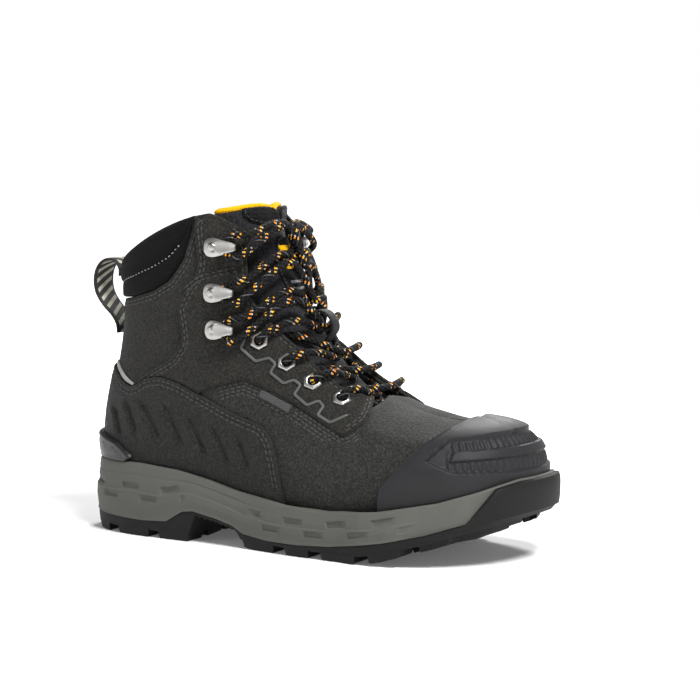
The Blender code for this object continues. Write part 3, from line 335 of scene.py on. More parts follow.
def find(view, targets, side=-1):
    """Stations and heights where the upper is seen at the target points of a view; side -1 or +1."""
    targets = np.asarray(targets, float)
    see = VIEWS[view]
    first = 0 if view == "side" else 4.8
    t = np.linspace(first, LAST, 113)
    t, s, best = nearest(see, targets, t if side < 0 else SPAN - t, np.linspace(0, 1, 61))
    step = np.full(len(t), 0.08)
    for _ in range(46):
        moved = np.zeros(len(t), bool)
        for dt, ds in ((1, 0), (-1, 0), (0, 0.5), (0, -0.5), (1, 0.5), (-1, -0.5), (1, -0.5), (-1, 0.5)):
            t2, s2 = t + dt * step, np.clip(s + ds * step, 0, 1)
            d = ((see(surf(t2, s2)) - targets) ** 2).sum(-1)
            better = d < best
            t, s, best = np.where(better, t2, t), np.where(better, s2, s), np.where(better, d, best)
            moved |= better
        step = np.where(moved, step, step / 2)
    return np.stack([t, s], -1)


def level(z, t0, t1, count=24):
    """Line of constant height z between two stations."""
    t = np.linspace(t0, t1, count)
    return np.stack([t, bisect(lambda s: surf(t, s)[:, 2] < z, np.zeros(count), np.ones(count))], -1)


def smooth_line(points, longest=6.0, rounds=2):
    """Corner-cut a polyline; short first so that corners keep to a few millimetres."""
    pts = [np.array(p, float) for p in points]
    fine = []
    for a, b in zip(pts, pts[1:]):
        n = max(1, int(np.linalg.norm(b - a) / longest))
        fine += [a + (b - a) * i / n for i in range(n)]
    fine.append(pts[-1])
    for _ in range(rounds):
        new = [fine[0]]
        for a, b in zip(fine, fine[1:]):
            new += [a * 0.75 + b * 0.25, a * 0.25 + b * 0.75]
        fine = new + [fine[-1]]
    return np.array(fine)


def resample(line, step):
    """Re-space a (t, s) line so that its points are step millimetres apart on the surface."""
    line = np.asarray(line, float)
    part = np.linspace(0, 1, 9)[None, :-1, None]
    dense = (line[:-1, None] + (line[1:, None] - line[:-1, None]) * part).reshape(-1, 2)
    dense = np.concatenate([dense, line[-1:]])
    run = run_along(surf(*dense.T))
    count = max(2, int(round(run[-1] / step)))
    return read_off(np.linspace(0, run[-1], count + 1), run, dense)


def metric(ts):
    e = 0.004
    t, s = ts[:, 0], ts[:, 1]
    s0, s1 = np.clip(s - e, 0, 1), np.clip(s + e, 0, 1)
    jt = (surf(t + e, s) - surf(t - e, s)) / (2 * e)
    js = (surf(t, s1) - surf(t, s0)) / np.maximum(s1 - s0, 1e-6)[:, None]
    return jt, js


def inset(line, d):
    """Shift a (t, s) line sideways by d millimetres, to its left in the (t, s) plane."""
    u = np.gradient(line, axis=0)
    jt, js = metric(line)
    a, b, c = (jt * jt).sum(1), (jt * js).sum(1), (js * js).sum(1)
    perp = np.stack([-u[:, 1], u[:, 0]], -1)
    det = np.maximum(a * c - b * b, 1e-9)
    v = np.stack([(c * perp[:, 0] - b * perp[:, 1]) / det, (a * perp[:, 1] - b * perp[:, 0]) / det], -1)
    size = np.sqrt(a * v[:, 0] ** 2 + 2 * b * v[:, 0] * v[:, 1] + c * v[:, 1] ** 2)
    out = line + v / np.maximum(size, 1e-9)[:, None] * d
    out[:, 1] = np.clip(out[:, 1], 0, 1)
    return out


# ------------------------------------------------------------------ mesh helpers

def world(p):
    p = np.asarray(p, float)
    return (p - np.array([CENTRE_X, CENTRE_Y, 0])) * 0.001


def build(name, verts, faces, mat, sharp=40, layers=None):
    """Object from millimetre points; layers holds float attributes per point."""
    mesh = bpy.data.meshes.new(name)
    mesh.from_pydata(world(verts).tolist(), [], [tuple(int(i) for i in f) for f in faces])
    mesh.validate()
    bm = bmesh.new()
    bm.from_mesh(mesh)
    bmesh.ops.recalc_face_normals(bm, faces=bm.faces)
    bm.to_mesh(mesh)
    bm.free()
    mesh.shade_smooth()
    mesh.set_sharp_from_angle(angle=math.radians(sharp))
    for key, values in (layers or {}).items():
        layer = mesh.attributes.new(key, "FLOAT", "POINT")
        layer.data.foreach_set("value", np.asarray(values, np.float32))
    mesh.materials.append(mat)
    return add_object(name, mesh)


def place(obj, body, slot, *nodes):
    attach(obj, body)
    if nodes:
        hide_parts(*nodes)
    return obj


def table(x, rows):
    """Read a table of (place, value) rows."""
    return np.interp(x, *np.array(rows, float).T)


def near_tree(points):
    tree = KDTree(len(points))
    for i, p in enumerate(points):
        tree.insert(Vector(p), i)
    tree.balance()
    return tree


def distance(tree, points):
    return np.array([tree.find(Vector(p))[2] for p in points])


def inside(poly, pts):
    """Even-odd test of points in a closed polygon."""
    x, y = pts[:, 0], pts[:, 1]
    odd = np.zeros(len(pts), bool)
    j = len(poly) - 1
    for i in range(len(poly)):
        xi, yi, xj, yj = poly[i, 0], poly[i, 1], poly[j, 0], poly[j, 1]
        if yi != yj:
            odd ^= ((yi > y) != (yj > y)) & (x < (xj - xi) * (y - yi) / (yj - yi) + xi)
        j = i
    return odd


# Typical millimetres to one station and to the whole height, so that meshes come out even.
T_SIZE = 24.0
S_SIZE = 115.0


class Panel:
    """A closed sheet on the upper: outlines in (t, s), a height above the surface and an underside.

    Each loop is a list of lines; a line given as ("glue", line) is no real edge: its points meet those
    of another glue line, because stations t and -t share the ridge at s = 1.
    """

    def __init__(self, name, loops, thick, base, spacing=2.4, roll=1.1, seams=(), holes=(), relief=None,
                 rings=(0.35, 0.9, 1.7, 2.7), edge=0.0):
        self.name = name
        self.thick, self.base, self.roll, self.edge = thick, base, roll, edge
        self.relief = relief
        self.holes = list(holes)
        self.seam_tree = None
        if len(seams):
            dense = np.concatenate([resample(s, 0.6) for s in seams])
            self.seam_tree = near_tree(surf(*dense.T))
        self.loops = [self.read_loop(loop) for loop in loops]
        fine = np.concatenate([resample(line, 0.5) for lines, _ in self.loops for line in lines])
        self.edge_tree = near_tree(surf(*fine.T))
        parts = [self.mesh_loop(lines, outline, spacing, rings) for lines, outline in self.loops]
        self.ts = np.concatenate([ts for ts, _ in parts])
        starts = np.cumsum([0] + [len(ts) for ts, _ in parts])
        self.tris = np.concatenate([tris + first for (_, tris), first in zip(parts, starts)])

    def read_loop(self, loop):
        """Real edges, wound like the loop, and the whole closed outline, anticlockwise in (t, s)."""
        pieces = []
        for line in loop:
            glue = isinstance(line, tuple) and line[0] == "glue"
            pts = np.asarray(line[1]) if glue else resample(line, 1.3)
            pieces.append((glue, pts))
        outline = []
        for _, pts in pieces:
            for p in pts:
                if not outline or np.abs(np.array(outline[-1]) - p).max() > 1e-5:
                    outline.append(tuple(p))
        if np.abs(np.array(outline[0]) - outline[-1]).max() < 1e-5:
            outline.pop()
        outline = np.array(outline)
        nxt = np.roll(outline, -1, 0)
        if np.sum(outline[:, 0] * nxt[:, 1] - nxt[:, 0] * outline[:, 1]) < 0:
            outline = outline[::-1]
            pieces = [(glue, pts[::-1]) for glue, pts in pieces]
        return [pts for glue, pts in pieces if not glue], outline

    def mesh_loop(self, lines, loop, spacing, rings):
        scale = np.array([T_SIZE, S_SIZE])
        lo, hi = loop.min(0) * scale, loop.max(0) * scale
        grid = []
        for k, v in enumerate(np.arange(lo[1], hi[1], spacing * 0.866)):
            u = np.arange(lo[0] + (k % 2) * spacing / 2, hi[0], spacing)
            grid.append(np.stack([u, np.full(len(u), v)], -1))
        grid = np.concatenate(grid) / scale
        grid = grid[inside(loop, grid)]
        near = surf(*grid.T)
        apart = distance(near_tree(surf(*loop.T)), near)
        d = distance(self.edge_tree, near)
        keep = [grid[(d > rings[-1] + spacing * 0.45) & (apart > spacing * 0.5)]]
        for r in rings:
            for line in lines:
                ring = inset(line, r)
                ring = ring[inside(loop, ring)]
                if len(ring):
                    dr = distance(self.edge_tree, surf(*ring.T))
                    keep.append(ring[dr > r * 0.82])
        extra = []
        for t, s, radius in self.holes:
            if not inside(loop, np.array([[t, s]]))[0]:
                continue
            angle = np.linspace(0, 2 * math.pi, 17)[:-1]
            jt, js = metric(np.array([[t, s]]))
            lt, ls = np.linalg.norm(jt[0]), np.linalg.norm(js[0])
            extra.append(np.stack([t + radius * np.cos(angle) / lt, s + radius * np.sin(angle) / ls], -1))
        pts = np.concatenate([loop] + keep + extra)
        n = len(loop)
        edges = [(i, (i + 1) % n) for i in range(n)]
        first = len(pts) - sum(len(e) for e in extra)
        for e in extra:
            edges += [(first + i, first + (i + 1) % len(e)) for i in range(len(e))]
            first += len(e)
        out = delaunay_2d_cdt([Vector(p) for p in pts * scale], edges, [list(range(n))], 1, 1e-4)
        ts = np.array([tuple(v) for v in out[0]]) / scale
        tris = np.array([tuple(f) for f in out[2]])
        mid = surf(*ts[tris].mean(1).T)
        drop = np.zeros(len(tris), bool)
        for t, s, radius in self.holes:
            drop |= np.linalg.norm(mid - surf(t, s), axis=1) < radius * 0.97
        return ts, tris[~drop]

    def height(self, ts, p=None):
        p = surf(*ts.T) if p is None else p
        d = distance(self.edge_tree, p)
        x = np.clip(d / self.roll, 0, 1)
        thick = self.thick(p) if callable(self.thick) else self.thick
        base = self.base(p) if callable(self.base) else self.base
        low = base + (thick - base) * self.edge
        h = low + (thick - low) * np.sqrt(np.clip(1 - (1 - x) ** 2, 0, 1))
        seam = np.full(len(p), 9.0)
        if self.seam_tree is not None:
            seam = distance(self.seam_tree, p)
            h = h - 0.6 * np.exp(-(seam / 1.0) ** 2) + 0.12 * np.exp(-((seam - 2.4) / 1.1) ** 2)
        if self.relief is not None:
            h = h + self.relief(ts, p, d)
        return h, d, seam

    def make(self, mat, sharp=50):
        ts, tris = self.ts, self.tris
        p = surf(*ts.T)
        key = np.round(p / 0.02).astype(int)
        _, first, merged = np.unique(key, axis=0, return_index=True, return_inverse=True)
        merged = merged.ravel()
        tris = merged[tris]
        tris = tris[(tris[:, 0] != tris[:, 1]) & (tris[:, 1] != tris[:, 2]) & (tris[:, 0] != tris[:, 2])]
        ts, p = ts[first], p[first]
        n = normal(*ts.T)
        h, d, seam = self.height(ts, p)
        base = self.base(p) if callable(self.base) else np.full(len(p), float(self.base))
        outer = p + n * h[:, None]
        inner = p + n * np.minimum(base, h - 0.15)[:, None]
        count = len(p)
        seen = set()
        for a, b, c in tris.tolist():
            seen.update(((a, b), (b, c), (c, a)))
        walls = [(b, a, a + count, b + count) for a, b in sorted(seen) if (b, a) not in seen]
        faces = [tuple(f) for f in tris] + [tuple(f[::-1] + count) for f in tris] + walls
        layers = {"edge": np.tile(np.minimum(d, 9), 2), "seam": np.tile(np.minimum(seam, 9), 2)}
        return build(self.name, np.concatenate([outer, inner]), faces, mat, sharp, layers)


def lay(panel, mat, body, slot, node, rows=(), sewn=None, thread=(), sharp=50):
    """Make a panel for a CAD node, and the thread along its rows."""
    obj = place(panel.make(mat, sharp), body, slot, node)
    if sewn:
        place(stitches(sewn, panel, rows, *thread), body, slot)
    return obj


def stitches(name, panel, lines, length=2.9, gap=1.1, radius=0.5, lift=0.02, mat=None):
    """Rows of real thread along (t, s) lines, laid on a panel's own surface."""
    verts, faces = [], []
    rings = ((-0.5, -0.75), (-0.43, -0.1), (-0.2, 0.25), (0.2, 0.25), (0.43, -0.1), (0.5, -0.75))
    sides = 6
    angle = np.arange(sides) * 2 * math.pi / sides
    for line in lines:
        fine = resample(line, 0.6)
        h, _, _ = panel.height(fine)
        p = off(fine[:, 0], fine[:, 1], h + lift)
        n = normal(*fine.T)
        run = run_along(p)
        count = max(1, int(run[-1] / (length + gap)))
        pitch = run[-1] / count
        for k in range(count):
            mid = (k + 0.5) * pitch
            at = np.clip(mid + np.array([r[0] for r in rings]) * (pitch - gap), 0, run[-1])
            c = read_off(at, run, p)
            nn = unit(read_off(at, run, n))
            along = unit(c[-1] - c[0])
            across = unit(np.cross(nn, along))
            first = len(verts)
            for j, (_, rise) in enumerate(rings):
                r = radius * (0.55 if j in (0, 5) else 0.9 if j in (1, 4) else 1.0)
                o = c[j] + nn[j] * radius * rise
                verts += list(o + r * (np.cos(angle)[:, None] * across[j] + np.sin(angle)[:, None] * nn[j]))
            for j in range(5):
                for i in range(sides):
                    a, b = first + j * sides + i, first + j * sides + (i + 1) % sides
                    faces.append((a, b, b + sides, a + sides))
            faces.append(tuple(first + i for i in range(sides))[::-1])
            faces.append(tuple(first + 5 * sides + i for i in range(sides)))
    return build(name, np.array(verts), faces, mat or THREAD, 80)


# ------------------------------------------------------------------ materials

def times(c, k):
    return tuple(min(1.0, v * k) for v in c)


class Look:
    """A material in the making: its node tree and its shader."""

    def __init__(self, name, tone, rough, metallic=0.0, sheen=None, gloss=None):
        self.mat = bpy.data.materials.new(name)
        self.mat.use_nodes = True
        self.tree = self.mat.node_tree
        self.shader = self.tree.nodes["Principled BSDF"]
        self.feed(self.shader, {"Base Color": (*tone, 1), "Roughness": rough, "Metallic": metallic})
        if sheen is not None:
            self.feed(self.shader, {"Sheen Weight": sheen[0], "Sheen Roughness": sheen[1]})
        if gloss is not None:
            self.feed(self.shader, {"Specular IOR Level": gloss})

    def feed(self, node, values):
        """Give inputs of a node links or plain values."""
        for key, value in values.items():
            if isinstance(value, bpy.types.NodeSocket):
                self.tree.links.new(value, node.inputs[key])
            else:
                node.inputs[key].default_value = value

    def add(self, kind, values):
        node = self.tree.nodes.new("ShaderNode" + kind)
        self.feed(node, values)
        return node

    def coords(self, stretch=None):
        out = self.add("TexCoord", {}).outputs["Object"]
        if stretch is None:
            return out
        return self.add("Mapping", {"Scale": stretch, "Vector": out}).outputs[0]

    def run_uv(self):
        """The two parts of the UV map that sweep() lays along a piece."""
        uv = self.add("UVMap", {})
        uv.uv_map = "run"
        split = self.add("SeparateXYZ", {0: uv.outputs[0]})
        return split.outputs[0], split.outputs[1]

    def noise(self, scale, detail, rough, at=None):
        values = {"Scale": scale, "Detail": detail, "Roughness": rough, "Vector": at or self.coords()}
        return self.add("TexNoise", values).outputs["Fac"]

    def pores(self, scale):
        node = self.add("TexVoronoi", {})
        node.feature = "SMOOTH_F1"
        self.feed(node, {"Scale": scale, "Vector": self.coords()})
        return node.outputs["Distance"]

    def ramp(self, fac, *stops):
        node = self.add("ValToRGB", {0: fac})
        elements = node.color_ramp.elements
        while len(elements) < len(stops):
            elements.new(0.5)
        for element, (position, colour) in zip(elements, stops):
            element.position = position
            element.color = (*colour, 1)
        return node.outputs[0]

    def greys(self, fac, *stops):
        return self.ramp(fac, *((position, (v, v, v)) for position, v in stops))

    def math(self, op, a, b=None):
        node = self.add("Math", {})
        node.operation = op
        self.feed(node, {0: a} if b is None else {0: a, 1: b})
        return node.outputs[0]

    def mix(self, fac, a, b):
        node = self.add("Mix", {})
        node.data_type = "RGBA"
        self.feed(node, {0: fac, 6: a, 7: (*b, 1) if isinstance(b, tuple) else b})
        return node.outputs[2]

    def attribute(self, name):
        node = self.add("Attribute", {})
        node.attribute_name = name
        return node.outputs["Fac"]

    def bump(self, height, strength, distance, after=None):
        node = self.add("Bump", {"Strength": strength, "Distance": distance, "Height": height})
        if after is not None:
            self.feed(node, {"Normal": after})
        return node.outputs[0]

    def done(self, colour, normal_out, rough=None):
        self.feed(self.shader, {"Base Color": colour, "Normal": normal_out})
        if rough is not None:
            self.feed(self.shader, {"Roughness": rough})
        return self.mat


MOTTLE = 1.35
RUBBED = 1.7


def leather(name, tone, grain=700, grain_depth=0.00016, rough=0.8, sheen=0.05):
    """Leather with grain, mottling, rubbed rims and painted shade darkening the seams."""
    look = Look(name, tone, rough, sheen=(sheen, 0.6), gloss=0.16)
    patch, mid, fine = look.noise(42, 5, 0.6), look.noise(800, 4, 0.75), look.noise(1300, 2, 0.6)
    colour = look.ramp(patch, (0.3, times(tone, 1 / MOTTLE)), (0.7, times(tone, MOTTLE)))
    colour = look.mix(look.math("MULTIPLY", fine, 0.45), colour, times(tone, 1.9))
    colour = look.mix(look.greys(mid, (0.4, 1.0), (0.56, 0.0)), colour, times(tone, 0.45))
    colour = look.mix(look.greys(mid, (0.5, 0.0), (0.64, 0.9)), colour, times(tone, 2.4))
    rim = look.greys(look.attribute("edge"), (0.0, 0.75), (0.12, 0.2), (0.3, 0.0))
    colour = look.mix(rim, colour, times(tone, RUBBED))
    # Painted shade: the colour darkens close to each seam, as if the stitch furrow lay in shade.
    shade = look.greys(look.attribute("seam"), (0.0, 0.95), (0.08, 0.7), (0.16, 0.0))
    colour = look.mix(shade, colour, times(tone, 0.16))
    n = look.bump(look.pores(grain), 0.55, grain_depth)
    n = look.bump(fine, 0.5, grain_depth * 0.9, n)
    n = look.bump(mid, 0.65, 0.0009, n)
    n = look.bump(look.noise(95, 4, 0.6), 0.45, 0.0012, n)
    return look.done(colour, n, look.greys(patch, (0.25, rough - 0.08), (0.75, min(rough + 0.1, 1))))


def thread(name, tone, rough=0.75):
    look = Look(name, tone, rough)
    twist = look.noise(2600, 1, 0.5)
    colour = look.ramp(twist, (0.3, times(tone, 0.6)), (0.7, times(tone, 1.5)))
    return look.done(colour, look.bump(twist, 0.6, 0.0002))


def rubber(name, tone, rough, grain, depth, spread=1.25, gloss=0.26):
    look = Look(name, tone, rough, gloss=gloss)
    patch, fine = look.noise(30, 5, 0.65), look.noise(grain, 3, 0.6)
    colour = look.ramp(patch, (0.3, times(tone, 1 / spread)), (0.7, times(tone, spread)))
    colour = look.mix(look.math("MULTIPLY", fine, 0.35), colour, times(tone, 1.5))
    rough_map = look.greys(patch, (0.3, rough - 0.08), (0.7, min(1, rough + 0.1)))
    return look.done(colour, look.bump(fine, 0.5, depth), rough_map)


def cloth(name, tone, per_metre, depth=0.0003, sheen=0.3, fleck=None, contrast=1.5):
    """Woven cloth: two crossed sets of threads with fibre noise."""
    look = Look(name, tone, 0.95, sheen=(sheen, 0.5), gloss=0.12)
    heights = []
    for direction in ("X", "Z"):
        wave = look.add("TexWave", {"Distortion": 0.6, "Detail": 1.0, "Vector": look.coords()})
        wave.bands_direction = direction
        look.feed(wave, {"Scale": per_metre / 6.283})
        heights.append(wave.outputs["Fac"])
    weave = look.math("MAXIMUM", *heights)
    fibre, patch = look.noise(1700, 3, 0.65), look.noise(35, 3, 0.5)
    colour = look.ramp(weave, (0.25, times(tone, 1 / contrast)), (0.9, times(tone, contrast)))
    colour = look.mix(look.math("MULTIPLY", fibre, 0.5), colour, times(tone, 1.6))
    colour = look.mix(look.math("MULTIPLY", patch, 0.35), colour, times(tone, 0.6))
    if fleck:
        colour = look.mix(look.greys(look.noise(700, 1, 0.5), (0.62, 0.0), (0.68, 0.8)), colour, fleck)
    return look.done(colour, look.bump(fibre, 0.4, 0.0002, look.bump(weave, 0.7, depth)))


def metal(name, tone, rough):
    """Brushed metal."""
    look = Look(name, tone, rough, 1.0)
    streak = look.noise(1, 3, 0.6, look.coords((300, 2500, 300)))
    colour = look.ramp(look.noise(260, 5, 0.7), (0.3, times(tone, 0.85)), (0.65, tone))
    rough_map = look.greys(streak, (0.3, rough - 0.03), (0.7, rough + 0.05))
    return look.done(colour, look.bump(streak, 0.06, 0.00003), rough_map)


def plastic(name, tone, rough):
    look = Look(name, tone, rough)
    patch = look.noise(60, 4, 0.6)
    colour = look.ramp(patch, (0.3, times(tone, 0.8)), (0.7, times(tone, 1.25)))
    rough_map = look.greys(patch, (0.3, rough - 0.08), (0.7, rough + 0.1))
    return look.done(colour, look.bump(look.noise(1500, 2, 0.5), 0.3, 0.0001), rough_map)


def lace_material():
    """Round braid, black, with grey carrier threads and short coloured flecks; UV runs round and along."""
    look = Look("lace_braid", (0.02, 0.02, 0.02), 0.8, gloss=0.15)
    around, along = look.run_uv()

    def helix(turns, pitch, low, high, phase=0.0):
        a = look.math("MULTIPLY", around, turns * 2 * math.pi)
        b = look.math("MULTIPLY", along, 2 * math.pi / pitch)
        w = look.math("SINE", look.math("ADD", look.math("ADD", a, b), phase))
        return look.greys(w, (low, 0), (high, 1))

    left, right = helix(4, 3.6, 0.0, 0.9), helix(-4, 3.6, 0.0, 0.9)
    braid = look.math("MAXIMUM", left, right)
    colour = look.ramp(braid, (0.1, (0.002, 0.002, 0.002)), (0.9, (0.011, 0.011, 0.0115)))
    stripe = look.math("MULTIPLY", helix(2, 9.0, 0.88, 0.95), left)
    colour = look.mix(stripe, colour, (0.09, 0.09, 0.095))
    band = look.math("FRACT", look.math("MULTIPLY", along, 1 / 15.0))
    group = look.greys(band, (0.0, 0), (0.5, 0), (0.53, 1), (0.9, 1), (0.93, 0))
    group = look.math("MULTIPLY", group, look.greys(left, (0.15, 0.0), (0.3, 1.0)))
    warm = look.math("MULTIPLY", group, helix(-2, 6.2, 0.55, 0.64))
    pale = look.math("MULTIPLY", group, helix(-2, 6.2, 0.88, 0.93, 1.5))
    hue = look.math("FRACT", look.math("MULTIPLY", along, 1 / 37.0))
    tints = look.ramp(hue, (0.0, (0.85, 0.34, 0.006)), (0.5, (0.9, 0.46, 0.012)), (0.8, (0.8, 0.24, 0.006)))
    colour = look.mix(pale, look.mix(warm, colour, tints), (0.5, 0.48, 0.44))
    n = look.bump(look.noise(2200, 2, 0.6), 0.4, 0.0002, look.bump(braid, 0.9, 0.0004))
    return look.done(colour, n)


def webbing_material():
    """Black webbing with pale diagonal stripes; UV runs across (0..1) and along in millimetres."""
    look = Look("loop_webbing_weave", (0.02, 0.02, 0.02), 0.85)
    across, along = look.run_uv()
    slant = look.math("ADD", look.math("MULTIPLY", along, 1 / 6.5), look.math("MULTIPLY", across, 1.6))
    stripe = look.greys(look.math("FRACT", slant), (0.0, 0), (0.46, 0), (0.52, 1), (0.88, 1), (0.94, 0))
    ribs = look.math("SINE", look.math("MULTIPLY", along, 2 * math.pi / 0.9))
    rows = look.math("SINE", look.math("MULTIPLY", across, 2 * math.pi * 14))
    weave = look.math("MAXIMUM", ribs, rows)
    base = look.ramp(weave, (0.1, (0.003, 0.003, 0.003)), (0.9, (0.016, 0.016, 0.016)))
    pale = look.ramp(weave, (0.1, (0.28, 0.26, 0.2)), (0.9, (0.66, 0.62, 0.52)))
    from_middle = look.math("ABSOLUTE", look.math("SUBTRACT", across, 0.5))
    inner = look.greys(from_middle, (0.38, 1), (0.4, 0))
    colour = look.mix(look.math("MULTIPLY", stripe, inner), base, pale)
    return look.done(colour, look.bump(weave, 0.7, 0.0003))


NUBUCK = leather("nubuck_leather", (0.0135, 0.0130, 0.0108), 1100, 0.00012, 0.86, 0.06)
VAMP = leather("vamp_leather_grain", (0.0165, 0.0163, 0.0150), 620, 0.0003, 0.72, 0.05)
WRAP = leather("wrap_leather_coated", (0.0120, 0.0120, 0.0110), 1000, 0.00014, 0.68, 0.05)
KEEPER = leather("keeper_strap_leather", (0.02, 0.02, 0.02), rough=0.6, sheen=0.05)
GUSSET = leather("gusset_soft_leather", (0.008, 0.008, 0.008), rough=0.85, sheen=0.05)
THREAD = thread("dark_thread", (0.030, 0.030, 0.0285), 0.6)
PALE_THREAD = thread("pale_thread", (0.28, 0.28, 0.27))
GUARD = rubber("guard_rubber_pebbled", (0.0130, 0.0130, 0.0142), 0.56, 1200, 0.0002)
OUTSOLE = rubber("outsole_rubber_matt", (0.0085, 0.0085, 0.0082), 0.62, 900, 0.0002, gloss=0.18)
MIDSOLE = rubber("midsole_foam_matt", (0.080, 0.081, 0.072), 0.7, 1100, 0.0001, 1.12)
COLLAR = cloth("collar_cloth", (0.0026, 0.0026, 0.0026), 1300, sheen=0.03)
LINING = cloth("lining_spacer_mesh", (0.012, 0.012, 0.0135), 800, 0.0005, 0.1, (0.04, 0.04, 0.045))
TONGUE = leather("tongue_dense_textile", (0.0125, 0.0120, 0.0140), 1600, 0.00014, 0.85, 0.06)
YELLOW = cloth("yellow_lining_cloth", (0.72, 0.36, 0.004), 1100, sheen=0.05, contrast=1.12)
PAD = cloth("pad_rib_knit", (0.007, 0.007, 0.0075), 700, depth=0.0006, sheen=0.08)
PATCH = cloth("patch_weave_black", (0.006, 0.006, 0.006), 1500, depth=0.0002, sheen=0.08)
FOOTBED = cloth("footbed_cloth", (0.02, 0.02, 0.023), 900, sheen=0.1, fleck=(0.1, 0.085, 0.03))
LABEL = cloth("label_weave_grey", (0.05, 0.05, 0.051), 1600, depth=0.0002, sheen=0.05)
STEEL = metal("satin_nickel", (0.46, 0.45, 0.43), 0.3)
CAP_STEEL = metal("pressed_steel", (0.5, 0.5, 0.52), 0.4)
PIPING = plastic("piping_grey_matt", (0.066, 0.067, 0.064), 0.5)
REFLECT = plastic("reflective_strip_silver", (0.24, 0.24, 0.23), 0.35)
CLIP = plastic("clip_black", (0.0075, 0.0075, 0.0075), 0.42)
BOARD = cloth("fibre_board", (0.32, 0.27, 0.2), 500, contrast=1.1)
AGLET = plastic("aglet_clear_coat", (0.01, 0.01, 0.01), 0.25)
GREY_THREAD = thread("grey_thread", (0.04, 0.04, 0.04))
LABEL_PALE = thread("woven_mark_grey", (0.22, 0.22, 0.22), 0.9)
LACE = lace_material()
WEBBING = webbing_material()


# ------------------------------------------------------------------ seam lines seen from the side (x, z)

HOOK_REAR_SEAM = (
    (97, 203), (95, 190), (98, 168), (96, 160), (88, 150), (83, 141), (86, 129), (87, 121), (80, 111),
    (57, 99), (47, 92),
)
WRAP_TOP = (
    (24, 102), (37, 93), (46, 90.5), (58, 97), (71, 99), (85, 96), (99, 90.5), (126, 80), (147, 74),
    (154, 67), (159, 53), (161, 38),
)
QUARTER_FOOT = (
    (99, 92), (112, 96), (130, 101), (142, 97), (165, 88), (186, 78), (202, 71), (210, 79),
)
THROAT_WIDTH = (
    (-80, 14), (-77, 20.5), (-69, 24.5), (-50, 26), (-29, 27), (-8, 29.5), (14, 33), (34, 30.5),
    (46, 28), (90, 26),
)
COLLAR_FOOT = ((26, 144), (45, 146.5), (62, 151), (76, 158), (86, 170), (92, 187), (93.5, 196))
GUARD_REAR = ((227, 33), (229, 45), (237, 54), (243, 61), (253, 70), (262, 77))
TONGUE_REAR = (
    (104, 190), (112, 176), (114, 150), (120, 132), (143, 112), (172, 95), (198, 82), (216, 75),
)
# Eyelets from the top down, hooks from the bottom up, as seen from the side.
EYELETS = ((137, 123), (155, 110.5), (172, 99.5), (190.5, 90))
HOOKS = ((114, 129), (112, 151), (111, 178))
SIDES = ((-1, "lateral"), (1, "medial"))

# The side label: corners seen from the side, and its two directions there.
LABEL_CORNERS = ((143, 95.2), (164, 86.8), (162.2, 82.6), (141.2, 91))
LABEL_ALONG, LABEL_DOWN = (0.9285, -0.3714), (-0.3714, -0.9285)
# Heights in millimetres of the level seams round the heel.
CLIP_LOW, CLIP_HIGH = 45.6, 62
WRAP_HEEL = 103.6
BACKSTAY_LOW, BACKSTAY_HIGH, BACKSTAY_HALF = 104.6, 141.6, 12.8
COLLAR_HEEL = 143.2
# Sheets: heights of their outer and inner faces over the surface.
SKIN = (0.0, -2.0)
OVERLAY = (2.2, 0.3)
WRAP_SHEET = (2.8, 0.3)
GUARD_SHEET = (4.6, 0.3)
CLIP_SHEET = (6.4, 3.1)
GUSSET_SHEET = (-8.1, -8.7)
LINING_SHEET = (-4.5, -5.7)
# Where the vamp ends and the quarter begins, along the boot.
VAMP_REAR, QUARTER_FRONT = 100.6, 100.3
HOOK_SEAT = 2.7


def seam(points, side):
    return find("side", smooth_line(points, 5.0), side)


def at(t, side):
    """A lateral station number taken to the given side."""
    return t if side < 0 else SPAN - t


def foot_station(x, side):
    """Station whose lower edge stands at x."""
    t = np.linspace(0, LAST, 400) if side < 0 else np.linspace(SPAN, LAST, 400)
    return float(np.interp(x, surf(t, t * 0)[:, 0], t))


def ridge_station(x):
    """Station on the ridge at x; the ridge climbs toward the heel."""
    t = np.linspace(LAST, CORNER, 300)
    return float(np.interp(-x, -surf(t, t * 0 + 1)[:, 0], t))


def ridge_z(z):
    """Station on the ridge at height z."""
    t = np.linspace(LAST, CORNER, 600)
    return float(np.interp(z, surf(t, t * 0 + 1)[:, 2], t))


def throat_edge(w0, w1, side, shift=0.0):
    w = np.linspace(w0, w1, 60)
    y = table(w, THROAT_WIDTH) + shift
    return find("throat", np.stack([y * side, w], -1), side)


def row(points, side):
    """Flat (t, s) line through a few places, unsmoothed."""
    return find("side", points, side)


def ridge_line(t0, t1, side=-1, step=0.06):
    n = max(2, int(abs(t1 - t0) / step))
    t = np.linspace(t0, t1, n)
    return np.stack([t if side < 0 else SPAN - t, np.ones(n)], -1)


def hole_list(side, radius):
    return [(t, s, radius) for t, s in find("side", EYELETS, side)]


# ------------------------------------------------------------------ upper panels

def led_from_heel(line, z, side, count):
    """The line with a start at the heel centre, at height z there."""
    heel = level(z, at(0, side), line[0, 0], count)
    heel[:, 1] += (line[0, 1] - heel[-1, 1]) * np.linspace(0, 1, count) ** 2
    return np.concatenate([heel[:-1], line])


def collar_foot_line(side):
    return led_from_heel(seam(COLLAR_FOOT, side), COLLAR_HEEL, side, 16)


